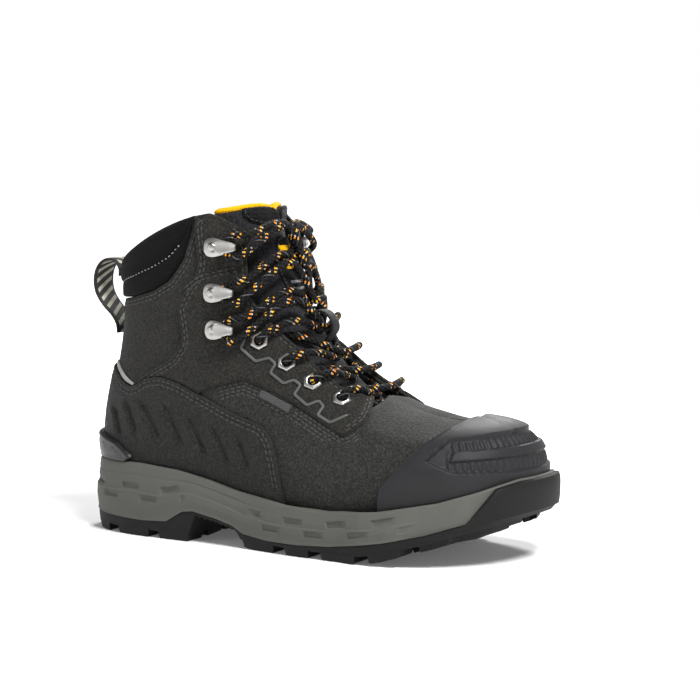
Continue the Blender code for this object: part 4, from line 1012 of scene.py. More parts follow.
def make_quarter(side, word):
    tq = foot_station(QUARTER_FRONT, side)
    foot = np.stack([np.linspace(at(0, side), tq, 20), np.zeros(20)], -1)
    front = row([(QUARTER_FRONT, z) for z in (45, 60, 80, 100)], side)
    line = row(((130, 108), (142, 107), (166, 96), (192, 82.5), (202, 83)), side)
    edge = throat_edge(-78, 39, side)
    top = row(((123.5, 182.5), (120.5, 187), (116, 190.5), (109, 195), (103, 197.5), (96, 198.5)), side)
    foot_line = collar_foot_line(side)[::-1]
    heel = np.stack([np.full(30, float(at(0, side))), np.linspace(foot_line[-1, 1], 0, 30)], -1)
    rows = [inset(foot_line, -side * d) for d in (2.6, 4.9)]
    panel = Panel(f"quarter_{word}_leather", [[foot, front, line, edge, top, foot_line, heel]], *SKIN,
                  spacing=3.0, edge=0.55, holes=hole_list(side, 3.4),
                  seams=[collar_foot_line(side)] + rows, relief=creases)
    lay(panel, NUBUCK, "boot", "nubuck", f"quarter_{word}", rows, f"quarter_{word}_stitching")


def creases(ts, p, d):
    """Relief functions take places (t, s), points and edge distances; this one makes leather uneven."""
    x, y, z = p[:, 0], p[:, 1], p[:, 2]
    wave = np.sin(x * 0.11 + y * 0.07) * np.sin(z * 0.09 - x * 0.05) + 0.5 * np.sin(x * 0.23 - z * 0.19 + 1.3)
    return 0.16 * wave * np.clip(d / 6, 0, 1)


def runs_of(line, keep):
    """The unbroken stretches of a line where keep holds."""
    cuts = np.flatnonzero(np.diff(keep.astype(int))) + 1
    parts = zip(np.split(line, cuts), np.split(keep, cuts))
    return [part for part, kept in parts if kept[0] and len(part) > 6]


def vamp_rows():
    """Four thick rows just outside the foot of each eyestay, broken at the side label."""
    rows = []
    for side in (-1, 1):
        foot = seam(QUARTER_FOOT[1:], side)
        foot = resample(foot[surf(*foot.T)[:, 0] < 206.5], 0.8)
        for d in (1.9, 4.1, 6.3, 8.5):
            line = resample(inset(foot, side * d), 0.8)
            p = surf(*line.T)
            wrap = table(p[:, 0], WRAP_TOP[:-2])
            q = p[:, [0, 2]] - LABEL_CORNERS[0]
            u, v = q @ LABEL_ALONG, q @ LABEL_DOWN
            label = (u > -1.6) & (u < 24.2) & (v > -1.2) & (v < 5.8) & (side < 0)
            rows += runs_of(line, (p[:, 0] > 103) & (p[:, 2] > wrap + 1.4) & ~label)
    return rows


def make_vamp():
    t0, t1 = foot_station(VAMP_REAR, -1), foot_station(VAMP_REAR, 1)
    foot = np.stack([np.linspace(t0, t1, 60), np.zeros(60)], -1)
    tr = ridge_station(204.5)
    rear = {}
    for side in (-1, 1):
        up = row([(VAMP_REAR, z) for z in (45, 60, 80, 100)], side)
        line = row(((130, 108), (142, 106), (166, 95), (192, 82), (204, 84)), side)
        rear[side] = np.concatenate([up, line, [[at(tr, side), 1.0]]])
    glue_l = ridge_line(tr, LAST, -1)
    loop = [foot, rear[1], ("glue", ridge_line(tr, LAST, 1)), ("glue", glue_l[::-1]), rear[-1][::-1]]
    rows = vamp_rows()
    panel = Panel("vamp_leather_panel", [loop], *SKIN, spacing=2.6, edge=0.5, seams=rows, relief=creases)
    lay(panel, VAMP, "boot", "vamp_leather", "vamp", rows, "vamp_stitching", (2.6, 1.0, 0.62))


def make_eyestay(side, word):
    rear = seam(HOOK_REAR_SEAM, side)
    wrap = row([(x, z + 0.4) for x, z in WRAP_TOP[3:7]], side)
    foot = seam(QUARTER_FOOT[1:], side)
    edge = throat_edge(-79.5, 39, side)
    top = row(((125.5, 184), (122, 188.5), (117, 192), (110, 196.5), (104, 199), (99.5, 199.8)), side)
    hand = -side
    tab = find("side", ((202.5, 71.5), (209.5, 79)), side)
    low = foot[foot[:, 0] * hand < tab[0, 0] * hand]
    rows = [inset(rear, 2.3 * hand), inset(rear, 4.6 * hand)]
    front = resample(np.stack([foot[-1], edge[0]]), 0.8)
    tip = np.concatenate([resample(foot[len(low) - 1:-1], 0.8), front])
    rows += [inset(tip, 2.2 * hand)[2:-4], inset(tip, 4.3 * hand)[5:-6]]
    rows += [inset(edge, 3.0 * hand)[6:], inset(top, 3.0 * hand)[:-3]]
    across = seam(((90, 151.5), (98, 158), (106, 160.5), (121, 164)), side)
    rows += [across, inset(across, 2.3 * hand)]
    panel = Panel(f"eyestay_{word}_leather", [[rear, wrap, foot, edge, top]], *OVERLAY, spacing=2.2,
                  seams=rows, holes=hole_list(side, 3.2), roll=1.0, edge=0.1)
    lay(panel, NUBUCK, "boot", "nubuck", f"eyestay_{word}", rows, f"eyestay_{word}_stitching")


FLUTES = (
    ((31.0, 77.5), (37.5, 61.0)), ((42.5, 81.5), (51.5, 63.0)), ((56.0, 82.5), (69.5, 62.5)),
    ((74.5, 81.5), (87.5, 59.5)), ((93.0, 76.5), (105.5, 55.0)), ((112.5, 70.0), (122.5, 51.5)),
    ((131.5, 64.5), (137.5, 49.0)),
)


def wrap_relief(ts, p, d):
    """Pressed flutes: long slanted dents with a raised lip, on both sides."""
    out = creases(ts, p, d) * 0.6
    xz = p[:, [0, 2]]
    for a, b in FLUTES:
        a, b = np.array(a), np.array(b)
        along = b - a
        length = np.linalg.norm(along)
        u = (xz - a) @ (along / length)
        w = (xz - a) @ (np.array([-along[1], along[0]]) / length)
        reach = np.clip(np.minimum(u, length - u) / 5.0 + 0.6, 0, 1)
        half = 2.7 * np.clip(np.minimum(u, length - u) / 7 + 0.45, 0.4, 1)
        skew = w + 0.9
        sunk = np.where(skew < 0, np.exp(-(skew / (0.55 * half)) ** 4), np.exp(-(skew / (1.5 * half)) ** 2))
        out -= 2.0 * reach * sunk
        out += 0.5 * reach * np.exp(-((w + 3.9) / 1.7) ** 2)
    return out


def make_wrap():
    lines = {}
    for side in (-1, 1):
        line = led_from_heel(seam(WRAP_TOP, side), WRAP_HEEL, side, 14)
        line = np.concatenate([line, [[foot_station(162, side), 0.0]]])
        if side > 0:
            line[:, 0] -= SPAN
        lines[side] = line
    foot = np.stack([np.linspace(lines[-1][-1, 0], lines[1][-1, 0], 80), np.zeros(80)], -1)
    rows = []
    for side in (-1, 1):
        keep = lines[side][2:-3]
        rows += [inset(keep, d * side) for d in (2.2, 4.8)]
    panel = Panel("fluted_heel_wrap_leather", [[lines[1][::-1], lines[-1], foot]], *WRAP_SHEET, spacing=1.9,
                  seams=rows, relief=wrap_relief, roll=1.2, edge=0.08)
    lay(panel, WRAP, "boot", "wrap_leather", "fluted_heel_wrap", rows, "heel_wrap_stitching")


def make_backstay():
    sides = {}
    for s in (-1, 1):
        line = []
        for z in np.linspace(BACKSTAY_LOW, BACKSTAY_HIGH, 14):
            cut = level(z, -0.9, 0.9, 60)
            line.append(read_off(-s * BACKSTAY_HALF, -surf(*cut.T)[:, 1], cut))
        sides[s] = np.array(line)
    t_low, t_high = (sides[1][0, 0], sides[-1][0, 0]), (sides[1][-1, 0], sides[-1][-1, 0])
    low, high = level(BACKSTAY_LOW, *t_low, 20), level(BACKSTAY_HIGH, *t_high, 20)
    rows = [inset(sides[1], -2.2), inset(sides[-1], 2.2)]
    panel = Panel("backstay_leather", [[low, sides[-1], high[::-1], sides[1][::-1]]], *OVERLAY, spacing=2.0,
                  seams=rows, roll=1.0, edge=0.1)
    lay(panel, NUBUCK, "boot", "nubuck", "backstay", rows, "backstay_stitching")


def cut_x(x, t0, t1):
    """Line across the toe at constant x, on the upper half of each station."""
    t = np.linspace(t0, t1, 30)
    return np.stack([t, bisect(lambda s: surf(t, s)[:, 0] > x, np.full(len(t), 0.4), np.ones(len(t)))], -1)


def depth_in(poly, pts):
    """Signed distance to a closed polygon, positive inside."""
    poly = np.asarray(poly, float)
    best = np.full(len(pts), 1e9)
    for a, b in zip(poly, np.roll(poly, -1, 0)):
        ab = b - a
        f = np.clip(((pts - a) @ ab) / (ab @ ab), 0, 1)
        best = np.minimum(best, np.linalg.norm(pts - a - f[:, None] * ab, axis=1))
    return np.where(inside(poly, pts), best, -best)


def ease(x):
    x = np.clip(x, 0, 1)
    return x * x * (3 - 2 * x)


RECESS = ((254, 59.5), (263, 69.5), (300, 73.5), (335, 74), (335, 54), (268, 54))
BAR = ((266, 59.2), (267, 64.2), (300, 67), (335, 67), (335, 61.8), (300, 61.8))


def girth(t):
    """Distance along the upper from the toe centre to each station."""
    dense = np.linspace(0, SPAN, 1121)
    p = surf(dense, dense * 0 + 0.5)
    run = run_along(p)
    return np.interp(np.mod(t, SPAN), dense, run)


def guard_relief(ts, p, d):
    """Sunk panel round the toe with a raised bar, fine ribs over and under it, and a brow above."""
    xz = p[:, [0, 2]]
    sunk, bar = depth_in(RECESS, xz), depth_in(BAR, xz)
    floor = ease((sunk + 0.2) / 1.1)
    on_bar = ease((bar + 0.2) / 0.8)
    rib = np.tanh(1.6 * np.cos(girth(ts[:, 0]) * 2 * math.pi / 3.8))
    field = ease((sunk - 0.9) / 0.6) * ease((-bar - 0.4) / 0.5) * (xz[:, 0] > 264)
    out = -1.9 * floor * (1 - on_bar) - 0.15 * floor * on_bar + 0.5 * rib * field
    brow_z = np.interp(xz[:, 0], (240, 254, 263, 300, 335), (54, 59.5, 70, 74, 74.5))
    above = xz[:, 1] - brow_z
    brow = np.where(above > 0, np.clip(1 - above / 7, 0, 1), ease(1 + above / 1.0)) * (1 - floor)
    out += 0.75 * brow * ease((xz[:, 0] - 240) / 16) * ease(d / 4)
    return out - 0.35 * np.exp(-((d - 2.2) / 0.5) ** 2)


def make_guard():
    ends = {}
    for side in (-1, 1):
        line = seam(GUARD_REAR, side)
        foot_t = foot_station(226.5, side)
        ends[side] = np.concatenate([[[foot_t, 0.0]], line])
    over = cut_x(265, ends[-1][-1, 0], ends[1][-1, 0])
    drift = np.linspace(0, 1, len(over))
    first_gap, last_gap = ends[-1][-1, 1] - over[0, 1], ends[1][-1, 1] - over[-1, 1]
    over[:, 1] += first_gap * (1 - drift) ** 4 + last_gap * drift ** 4
    foot = np.stack([np.linspace(ends[-1][0, 0], ends[1][0, 0], 60), np.zeros(60)], -1)
    loop = [foot, ends[1], over[::-1], ends[-1][::-1]]
    panel = Panel("toe_guard_rubber", [loop], *GUARD_SHEET, spacing=0.95, roll=1.3, relief=guard_relief,
                  edge=0.12)
    lay(panel, GUARD, "boot", "guard_rubber", "toe_guard", sharp=38)


class Skin:
    """Stands in for a Panel under threads: a height over the upper at each (t, s)."""

    def __init__(self, height):
        self.rise = height

    def height(self, ts, p=None):
        return self.rise(ts), None, None


def ring_faces(rows, cols, wrap_rows=False):
    """Quads between closed rings of points numbered ring by ring."""
    out = []
    for i in range(rows if wrap_rows else rows - 1):
        a, b = i * cols, (i + 1) % rows * cols
        for k in range(cols):
            m = (k + 1) % cols
            out.append((a + k, b + k, b + m, a + m))
    return out


def tube_faces(rings, sides):
    """Quads between rings of points, and a cap on either end."""
    last = (rings - 1) * sides
    return ring_faces(rings, sides) + [tuple(range(sides))[::-1], tuple(last + k for k in range(sides))]


# Share of the collar's height where its stitch row lies, between the band and the padding.
STITCH_Q = 0.44


def make_collar():
    foot = {side: collar_foot_line(side) for side in (-1, 1)}
    left = foot[-1][np.argsort(foot[-1][:, 0])]
    right = foot[1].copy()
    right[:, 0] -= SPAN
    right = right[np.argsort(right[:, 0])]
    line = np.concatenate([right[:-1], left])
    keep = np.concatenate([[True], np.diff(line[:, 0]) > 1e-5])
    line = line[keep]
    ends = line[0, 0], line[-1, 0]
    t = ends[0] + (ends[1] - ends[0]) * (0.5 - 0.5 * np.cos(np.linspace(0, math.pi, 241))) ** 0.9
    t = ends[0] + (ends[1] - ends[0]) * (t - t[0]) / (t[-1] - t[0])
    s0 = np.minimum(np.interp(t, line[:, 0], line[:, 1]) + 0.004, 0.985)
    tall = np.linalg.norm(surf(t, t * 0 + 1) - surf(t, s0), axis=1)
    small = np.clip(tall / 26, 0.12, 1)

    def outer(q, size):
        band = 1.35 * ease(q / 0.045) + 0.35 * np.sin(np.clip(q / STITCH_Q, 0, 1) * math.pi)
        puff = 2.9 * np.sin(np.clip((q - STITCH_Q) / (1.06 - STITCH_Q), 0, 1) * math.pi) ** 0.55
        dip = -0.75 * np.exp(-((q - STITCH_Q) / 0.022) ** 2)
        return -0.7 + np.where(q < STITCH_Q, band + 0.25, 1.6 * np.clip(1 - (q - STITCH_Q) * 3, 0, 1)
                               + puff * size * 0.9 + 0.2) + dip * size

    q_roll = 1 - np.minimum(3.6, tall * 0.45) / tall
    qs = np.concatenate([np.linspace(0, 0.06, 5), np.linspace(0.1, STITCH_Q - 0.05, 9),
                         np.linspace(STITCH_Q - 0.03, STITCH_Q + 0.03, 7),
                         np.linspace(STITCH_Q + 0.06, 1, 13)])
    rows = []
    up = unit(surf(t, t * 0 + 1) - surf(t, t * 0 + 0.95))
    edge_n = normal(t, t * 0 + 0.97)
    for q in qs:
        f = q * q_roll
        s = s0 + (1 - s0) * f
        rows.append(surf(t, s) + normal(t, s) * outer(f, small)[:, None])
    h_out = outer(q_roll, small)
    top = surf(t, s0 + (1 - s0) * q_roll)
    reach = (1 - q_roll) * tall
    for a in np.linspace(0, math.pi, 15)[1:-1]:
        mid, half = (h_out - 6.4) / 2, (h_out + 6.4) / 2
        rows.append(top + edge_n * (mid + half * math.cos(a))[:, None]
                    + up * ((reach + 0.6) * math.sin(a))[:, None])
    for q in np.linspace(1, 0.02, 16):
        f = q * q_roll
        s = s0 + (1 - s0) * f
        sag = -4.9 - 1.5 * np.sin(np.clip(q, 0, 1) * math.pi / 2) ** 0.6 - 0.6 * np.sin(q * math.pi)
        rows.append(surf(t, s) + normal(t, s) * sag)
    grid = np.stack(rows)
    count, n = grid.shape[:2]
    verts = grid.transpose(1, 0, 2).reshape(-1, 3)
    collar = build("padded_collar_cloth", verts, tube_faces(n, count), COLLAR, 70)
    place(collar, "boot", "collar_textile", "padded_collar")

    def rise(ts):
        tt = np.where(ts[:, 0] > SPAN / 2, ts[:, 0] - SPAN, ts[:, 0])
        low = np.interp(tt, t, s0)
        q = (ts[:, 1] - low) / np.maximum(1 - low, 1e-6)
        return outer(q, np.interp(tt, t, small)) + 0.25

    skin = Skin(rise)
    tt = np.linspace(ends[0] * 0.9, ends[1] * 0.9, 120)
    low = np.interp(tt, t, s0)
    seam_line = np.stack([tt, low + (1 - low) * STITCH_Q], -1)
    thread_row = stitches("collar_stitching", skin, [seam_line], 1.5, 1.7, 0.4, 0.1, PALE_THREAD)
    place(thread_row, "boot", "collar_textile")


def tongue_top(p):
    """Height of the tongue's outer face over the surface."""
    return -9.1 + 3.0 * np.interp(p[:, 2], (192, 206), (0, 1))


def tongue_edge(side):
    """The tongue's rear edge on one side, from its top corner down to the ridge near the toe."""
    line = seam(((103.5, 199),) + TONGUE_REAR, side)
    line[0, 1] = 1.0
    tr = ridge_station(229)
    return np.concatenate([line, [[at(tr, side), 1.0]]]), tr


def tongue_loops(shift=0.0):
    loops, tops = [], []
    for side in (-1, 1):
        line, tr = tongue_edge(side)
        if shift:
            line = inset(line, shift * -side)
            line[-1] = at(tr - 0.25, side), 1.0
            line[0, 1] = 1.0
            tr -= 0.25
        top = np.stack([np.linspace(at(CORNER, side), line[0, 0], 30), np.ones(30)], -1)
        loops.append([line, ("glue", ridge_line(tr, CORNER, side)), top])
        tops.append(top)
    return loops, tops


def tongue_crown(ts, p, d):
    """Soft padding: fuller in the middle, with a channel down either side."""
    y = np.abs(p[:, 1])
    full = 0.9 * ease(d / 9)
    channel = 0.5 * np.exp(-((y - 15.5) / 1.1) ** 2) * np.clip((190 - p[:, 2]) / 12, 0, 1)
    wave = 0.25 * np.sin(p[:, 2] * 0.13 + p[:, 1] * 0.05) * np.sin(p[:, 1] * 0.12 + 0.7)
    return full - channel + wave * ease(d / 8)


def make_tongue():
    loops, tops = tongue_loops()
    panel = Panel("tongue_textile", loops, tongue_top, lambda p: tongue_top(p) - 5.0, spacing=2.6, roll=2.4,
                  rings=(0.4, 1.1, 2.2, 3.6), edge=0.3, relief=tongue_crown)
    lay(panel, TONGUE, "tongue", "tongue_fabric", "tongue", sharp=60)
    loops, _ = tongue_loops(2.2)
    back = Panel("tongue_lining_cloth", loops, lambda p: tongue_top(p) - 5.3, lambda p: tongue_top(p) - 6.5,
                 spacing=3.4, rings=(0.5, 1.5, 3.0), edge=0.3)
    lay(back, YELLOW, "tongue", "yellow_lining", "tongue_lining", sharp=60)
    pts, sides, ups = [], [], []
    for part in (resample(tops[0][::-1], 1.5), resample(tops[1], 1.5)):
        s = part[:, 1] * 0 + 1
        n = normal(part[:, 0], s)
        up = unit(surf(part[:, 0], s) - surf(part[:, 0], s - 0.05))
        p = surf(part[:, 0], s) + n * (tongue_top(surf(part[:, 0], s)) - 3.6)[:, None] + up * 1.0
        pts.append(p)
        sides.append(n)
        ups.append(up)
    pts, sides, ups = (np.concatenate(v) for v in (pts, sides, ups))
    for _ in range(3):
        pts[1:-1] = (pts[:-2] + 2 * pts[1:-1] + pts[2:]) / 4
    angle = np.linspace(0, 2 * math.pi, 17)[:-1]
    profile = np.stack([3.4 * np.cos(angle) - 0.4, 2.0 * np.sin(angle)], -1)
    bead = sweep("tongue_top_binding", pts, sides, ups, profile, YELLOW, taper=3)
    place(bead, "tongue", "yellow_lining")
    return panel


def sweep(name, centres, sides, ups, profile, mat, taper=0, uv=None, sharp=60):
    """Closed solid: a closed profile of (side, up) millimetres carried along points."""
    centres = np.asarray(centres, float)
    n, m = len(centres), len(profile)
    size = np.ones(n)
    if taper:
        for k in range(taper):
            size[k] = size[-1 - k] = 0.35 + 0.65 * math.sin((k + 0.3) / taper * math.pi / 2)
    prof = np.asarray(profile, float)
    verts = (centres[:, None] + (sides[:, None] * prof[None, :, :1] + ups[:, None] * prof[None, :, 1:])
             * size[:, None, None]).reshape(-1, 3)
    obj = build(name, verts, tube_faces(n, m), mat, sharp)
    if uv:
        run = run_along(centres)
        lay = obj.data.uv_layers.new(name="run")
        loops = np.zeros(len(obj.data.loops), int)
        obj.data.loops.foreach_get("vertex_index", loops)
        around = loops % m
        starts = np.zeros(len(obj.data.polygons), int)
        totals = np.zeros(len(obj.data.polygons), int)
        obj.data.polygons.foreach_get("loop_start", starts)
        obj.data.polygons.foreach_get("loop_total", totals)
        owner = np.repeat(np.arange(len(starts)), totals)
        top = np.zeros(len(starts))
        np.maximum.at(top, owner, around)
        if uv == "round":
            u = around / m
            u[(around == 0) & (top[owner] == m - 1)] = 1.0
        else:
            width = prof[:, 0].max() - prof[:, 0].min()
            u = (prof[around, 0] - prof[:, 0].min()) / width
        values = np.stack([u, run[loops // m]], -1).astype(np.float32)
        lay.data.foreach_set("uv", values.ravel())
    return obj


def make_pad():
    loops = []
    tr = np.linspace(LAST, CORNER, 400)
    z = surf(tr, tr * 0 + 1)[:, 2]
    t_low = float(np.interp(191, z, tr))
    for side in (-1, 1):
        foot = find("side", ((121, 202), (122, 197.5), (125.5, 194), (131, 192), (137, 191.2)), side)
        foot = smooth_line(np.concatenate([foot, [[at(t_low, side), 1.0]]]), 0.05, 2)
        foot[0, 1] = 1.0
        top = np.stack([np.linspace(at(CORNER, side), foot[0, 0], 20), np.ones(20)], -1)
        loops.append([foot, ("glue", ridge_line(t_low, CORNER, side)), top])
    rows = [inset(loop[0][2:-2], 1.6 * side) for loop, side in zip(loops, (1, -1))]
    panel = Panel("tongue_pad_knit", loops, lambda p: tongue_top(p) + 3.0, lambda p: tongue_top(p) + 0.3,
                  spacing=1.8, roll=1.8, edge=0.2, seams=rows)
    pad = lay(panel, PAD, "tongue", "pad_knit", "tongue_top_pad", rows, "tongue_pad_stitching",
              (2.2, 0.8, 0.35), 60)


def front_line(points, side):
    """Places (t, s) on the instep where it is seen at (y, z) from the front."""
    targets = np.asarray(points, float) * [side, 1]
    t = np.linspace(at(CORNER, side), LAST, 141)
    t, s, best = nearest(lambda p: p[:, 1:], targets, t, np.linspace(0.45, 1, 111))
    step = 0.02
    for _ in range(12):
        for dt, ds in ((1, 0), (-1, 0), (0, 0.4), (0, -0.4)):
            t2, s2 = t + dt * step, np.clip(s + ds * step, 0, 1)
            d = ((surf(t2, s2)[:, 1:] - targets) ** 2).sum(-1)
            t, s, best = (np.where(d < best, a, b) for a, b in ((t2, t), (s2, s), (d, best)))
        step *= 0.7
    return np.stack([t, s], -1)


def front_block(name, y, z0, z1, low, high, mat, nodes=(), roll=0.5, seams=False):
    """Rectangle on the tongue, |y| under the given half width."""
    loops, rows = [], []
    for side in (-1, 1):
        tl, th = ridge_z(z0), ridge_z(z1)
        n = 10
        foot = front_line([(y * k / n, z0) for k in range(1, n + 1)], side)
        edge = front_line([(y, z0 + (z1 - z0) * k / n) for k in range(1, n)], side)
        head = front_line([(y * k / n, z1) for k in range(n, 0, -1)], side)
        glue = ridge_line(th, tl, side, 0.02)
        line = np.concatenate([[[at(tl, side), 1.0]], foot, edge, head, [[at(th, side), 1.0]]])
        loops.append([line, ("glue", glue)])
        if seams:
            rows.append(inset(line, 1.3 * side)[2:-2])
    panel = Panel(name, loops, lambda p: tongue_top(p) + high, lambda p: tongue_top(p) + low,
                  spacing=1.5, roll=roll, rings=(0.3, 0.8, 1.4), edge=0.2)
    place(panel.make(mat, 60), "tongue", "patch_weave", *nodes)
    return panel, rows


def make_patch():
    panel, rows = front_block("tongue_patch_weave", 13, 150, 186, 0.9, 2.1, PATCH, ("tongue_patch",),
                              seams=True)
    sewn = stitches("tongue_patch_stitching", panel, rows, 2.0, 0.8, 0.32, mat=GREY_THREAD)
    place(sewn, "tongue", "patch_weave")
    front_block("tongue_patch_block", 7.5, 167, 181, 1.8, 2.6, YELLOW)
    for k, z in enumerate((159.5, 155.5)):
        front_block(f"tongue_patch_bar_{k + 1}", 8, z - 0.8, z + 0.8, 1.8, 2.45, LABEL_PALE, roll=0.3)


def make_gusset(side, word):
    line = seam(((114.5, 150), (120, 132.5), (141, 111), (170, 94.5), (196, 82), (205, 84)), side)
    edge = throat_edge(-28, 38, side, shift=-3)
    panel = Panel(f"gusset_{word}_leather", [[line, edge]], *GUSSET_SHEET, spacing=3.4, roll=0.5,
                  rings=(0.6, 1.8), relief=creases)
    lay(panel, GUSSET, "boot", "gusset_leather", f"gusset_{word}")


def make_lining():
    tops = {}
    tr = ridge_station(231)
    for side in (-1, 1):
        foot = collar_foot_line(side)
        foot = foot[np.argsort(foot[:, 0] * -side)]
        mid = foot.copy()
        mid[:, 1] += (1 - foot[:, 1]) * 0.3
        front = seam([(x - 2.5, z - 2.5) for x, z in TONGUE_REAR[1:]], side)
        corner = find("side", ((101, 196),), side)
        tops[side] = np.concatenate([mid, corner, front, [[at(tr, side), 1.0]]])
    tops[-1][0, 0], tops[1][0, 0] = 0.0, SPAN
    tops[1][0, 1] = tops[-1][0, 1]
    foot = np.stack([np.linspace(0, SPAN, 160), np.full(160, 0.0)], -1)
    up = np.stack([np.full(24, float(SPAN)), np.linspace(0, tops[1][0, 1], 24)], -1)
    down = up[::-1].copy()
    down[:, 0] = 0.0
    loop = [foot, ("glue", up), tops[1], ("glue", ridge_line(tr, LAST, 1)),
            ("glue", ridge_line(tr, LAST, -1)[::-1]), tops[-1][::-1], ("glue", down)]
    panel = Panel("lining_cloth", [loop], *LINING_SHEET, spacing=4.5, roll=0.5, rings=(0.8, 2.4))
    lay(panel, LINING, "boot", "lining_mesh", "lining")


def make_clip():
    lines, feet = {}, {}
    for side in (-1, 1):
        end = (4, CLIP_HIGH), (20, 60.5), (36, 57), (48, 49), (42, CLIP_LOW)
        line = find("side", smooth_line(end, 3), side)
        low = level(CLIP_LOW, at(0, side), line[-1, 0], 12)
        path = led_from_heel(line, CLIP_HIGH, side, 6)
        if side > 0:
            path[:, 0] -= SPAN
            low[:, 0] -= SPAN
        lines[side], feet[side] = path, low
    low = np.concatenate([feet[1][::-1], feet[-1][1:]])
    panel = Panel("heel_clip_moulding", [[lines[1][::-1], lines[-1], low[::-1]]], *CLIP_SHEET, spacing=1.8,
                  roll=1.6, edge=0.25, relief=lambda ts, p, d: -0.5 * np.exp(-((d - 2.6) / 0.5) ** 2))
    lay(panel, CLIP, "boot", "clip_plastic", "heel_clip", sharp=45)


def make_heel_piping(side, word):
    high = seam(((25, 106), (38.5, 96.6), (46.3, 93.4)), side)
    low = seam(((24, 103.2), (37.2, 94.2), (45.5, 91.8)), side)
    panel = Panel(f"heel_piping_{word}_strip", [[high, low[::-1]]], 1.3, 0.3, spacing=1.2, roll=0.7,
                  rings=(0.3, 0.8))
    lay(panel, REFLECT, "boot", "reflective_piping", f"heel_piping_{word}")


def make_label():
    path = find("side", smooth_line(LABEL_CORNERS + LABEL_CORNERS[:1], 2.0, 0), -1)
    rows = [inset(path, 0.8)]
    panel = Panel("side_label_woven", [[path]], 1.15, 0.3, spacing=1.2, roll=0.4, rings=(0.3, 0.8))
    lay(panel, LABEL, "boot", "label_weave", "side_label", rows, "side_label_stitching", (1.1, 0.5, 0.2))


def surface_rail(points, side, lift):
    """Points over the surface with their sideways and outward directions, for sweep()."""
    ts = find("side", points, side)
    ts = resample(ts, 0.9)
    p = off(ts[:, 0], ts[:, 1], ts[:, 0] * 0 + lift)
    n = normal(*ts.T)
    d = unit(np.gradient(p, axis=0))
    return p, unit(np.cross(d, n)), n


HEX_PIPING = (
    (130, 129), (127.5, 118.5), (137, 111), (144.5, 113), (149, 109.5), (147, 104.5), (156.5, 98.5),
    (162, 100.5), (166.5, 97.5), (164.5, 92.5), (174, 86.5), (179.5, 89), (183.5, 86), (182, 81.5),
    (191, 77.5), (199, 81.5),
)


def make_piping(side, word):
    line = smooth_line(HEX_PIPING, 2.2, 1)
    p, across, up = surface_rail(line, side, 2.75)
    angle = np.linspace(0, 2 * math.pi, 13)[:-1]
    profile = np.stack([0.85 * np.cos(angle), 0.6 * np.sin(angle)], -1)
    obj = sweep(f"hex_piping_{word}_bead", p, across, up, profile, PIPING, taper=2)
    place(obj, "boot", "piping_grey", f"hex_piping_{word}")


# ------------------------------------------------------------------ sole

MIDSOLE_FOOT = (
    (-5, 13), (3, 13), (22, 11), (58, 10), (76, 11), (88, 18), (96, 19), (114, 16), (126, 13), (134, 9),
    (152, 7), (174, 7), (198, 8.5), (231, 13.5), (256, 19), (274, 25), (290, 30), (310, 34),
)
MIDSOLE_TOP = (
    (-5, 45), (55, 45), (83, 43), (106, 39), (128, 34), (164, 29.5), (194, 28.5), (229, 31.5), (263, 38),
    (282, 44), (297, 50), (310, 51),
)
GROUND_LINE = (
    (-5, 5), (6, 1), (14, 0), (92, 0), (97, 12), (113, 14.5), (124, 11), (131, 1), (140, 0), (212, 0),
    (230, 2.5), (246, 7), (277, 16), (299, 23), (310, 26),
)
BUMPER_TOP = ((270, 24), (277, 26.5), (283, 36), (289, 46), (297, 49), (310, 50))
TRAY_WALL = ((-5, 3.6), (172, 3.6), (186, 0.7), (204, 0.7), (218, 5.4), (310, 5.4))
RIM_FACE = ((-5, 6.2), (172, 6.2), (186, 5.4), (204, 5.4), (218, 7.8), (310, 7.8))
ARCH = (93, 132)
# Footbed rings from the outer foot over the rim to the middle: flare, rise, share of the heel cup.
BED_RINGS = (
    (-6.6, 3.4, 0), (-6.6, 8.0, 0), (-6.9, 8.0, 0.9), (-7.6, 8.3, 1), (-8.6, 8.2, 1), (-10.5, 8.0, 0.5),
    (-13, 7.9, 0.1), (-17, 7.7, 0),
)


class Outline:
    """The sole's outline at many stations: rim points, outward directions and x beside each."""

    def __init__(self, count):
        t = np.arange(count) * SPAN / count
        a, b = raw(t - 0.05, t * 0), raw(t + 0.05, t * 0)
        d = b - a
        n = unit(np.stack([d[:, 1], -d[:, 0], d[:, 0] * 0], -1))
        c = raw(t, t * 0) - np.array([150, 0, 0])
        right = (np.sum(n[:, :2] * c[:, :2], 1) > 0) | ((np.abs(c[:, 0]) < 100) & (n[:, 1] * c[:, 1] > 0))
        self.out = np.where(right[:, None], n, -n)

        def under_top(s):
            p = raw(t, s)
            return p[:, 2] < table(p[:, 0], MIDSOLE_TOP)

        self.rim = raw(t, bisect(under_top, t * 0, t * 0 + 0.5, 28))
        self.feather = raw(t, t * 0)
        self.t, self.count = t, count
        self.x = (self.rim + self.out * 6.0)[:, 0]
        ring = self.rim + self.out * 8.0
        steps = np.linalg.norm(np.diff(np.concatenate([ring, ring[:1]]), axis=0), axis=1)
        self.run = np.concatenate([[0], np.cumsum(steps)[:-1]])

    def ring(self, flare, z, low=False):
        p = (self.feather if low else self.rim) + self.out * np.broadcast_to(flare, self.t.shape)[:, None]
        return np.stack([p[:, 0], p[:, 1], np.broadcast_to(z, self.t.shape)], -1)


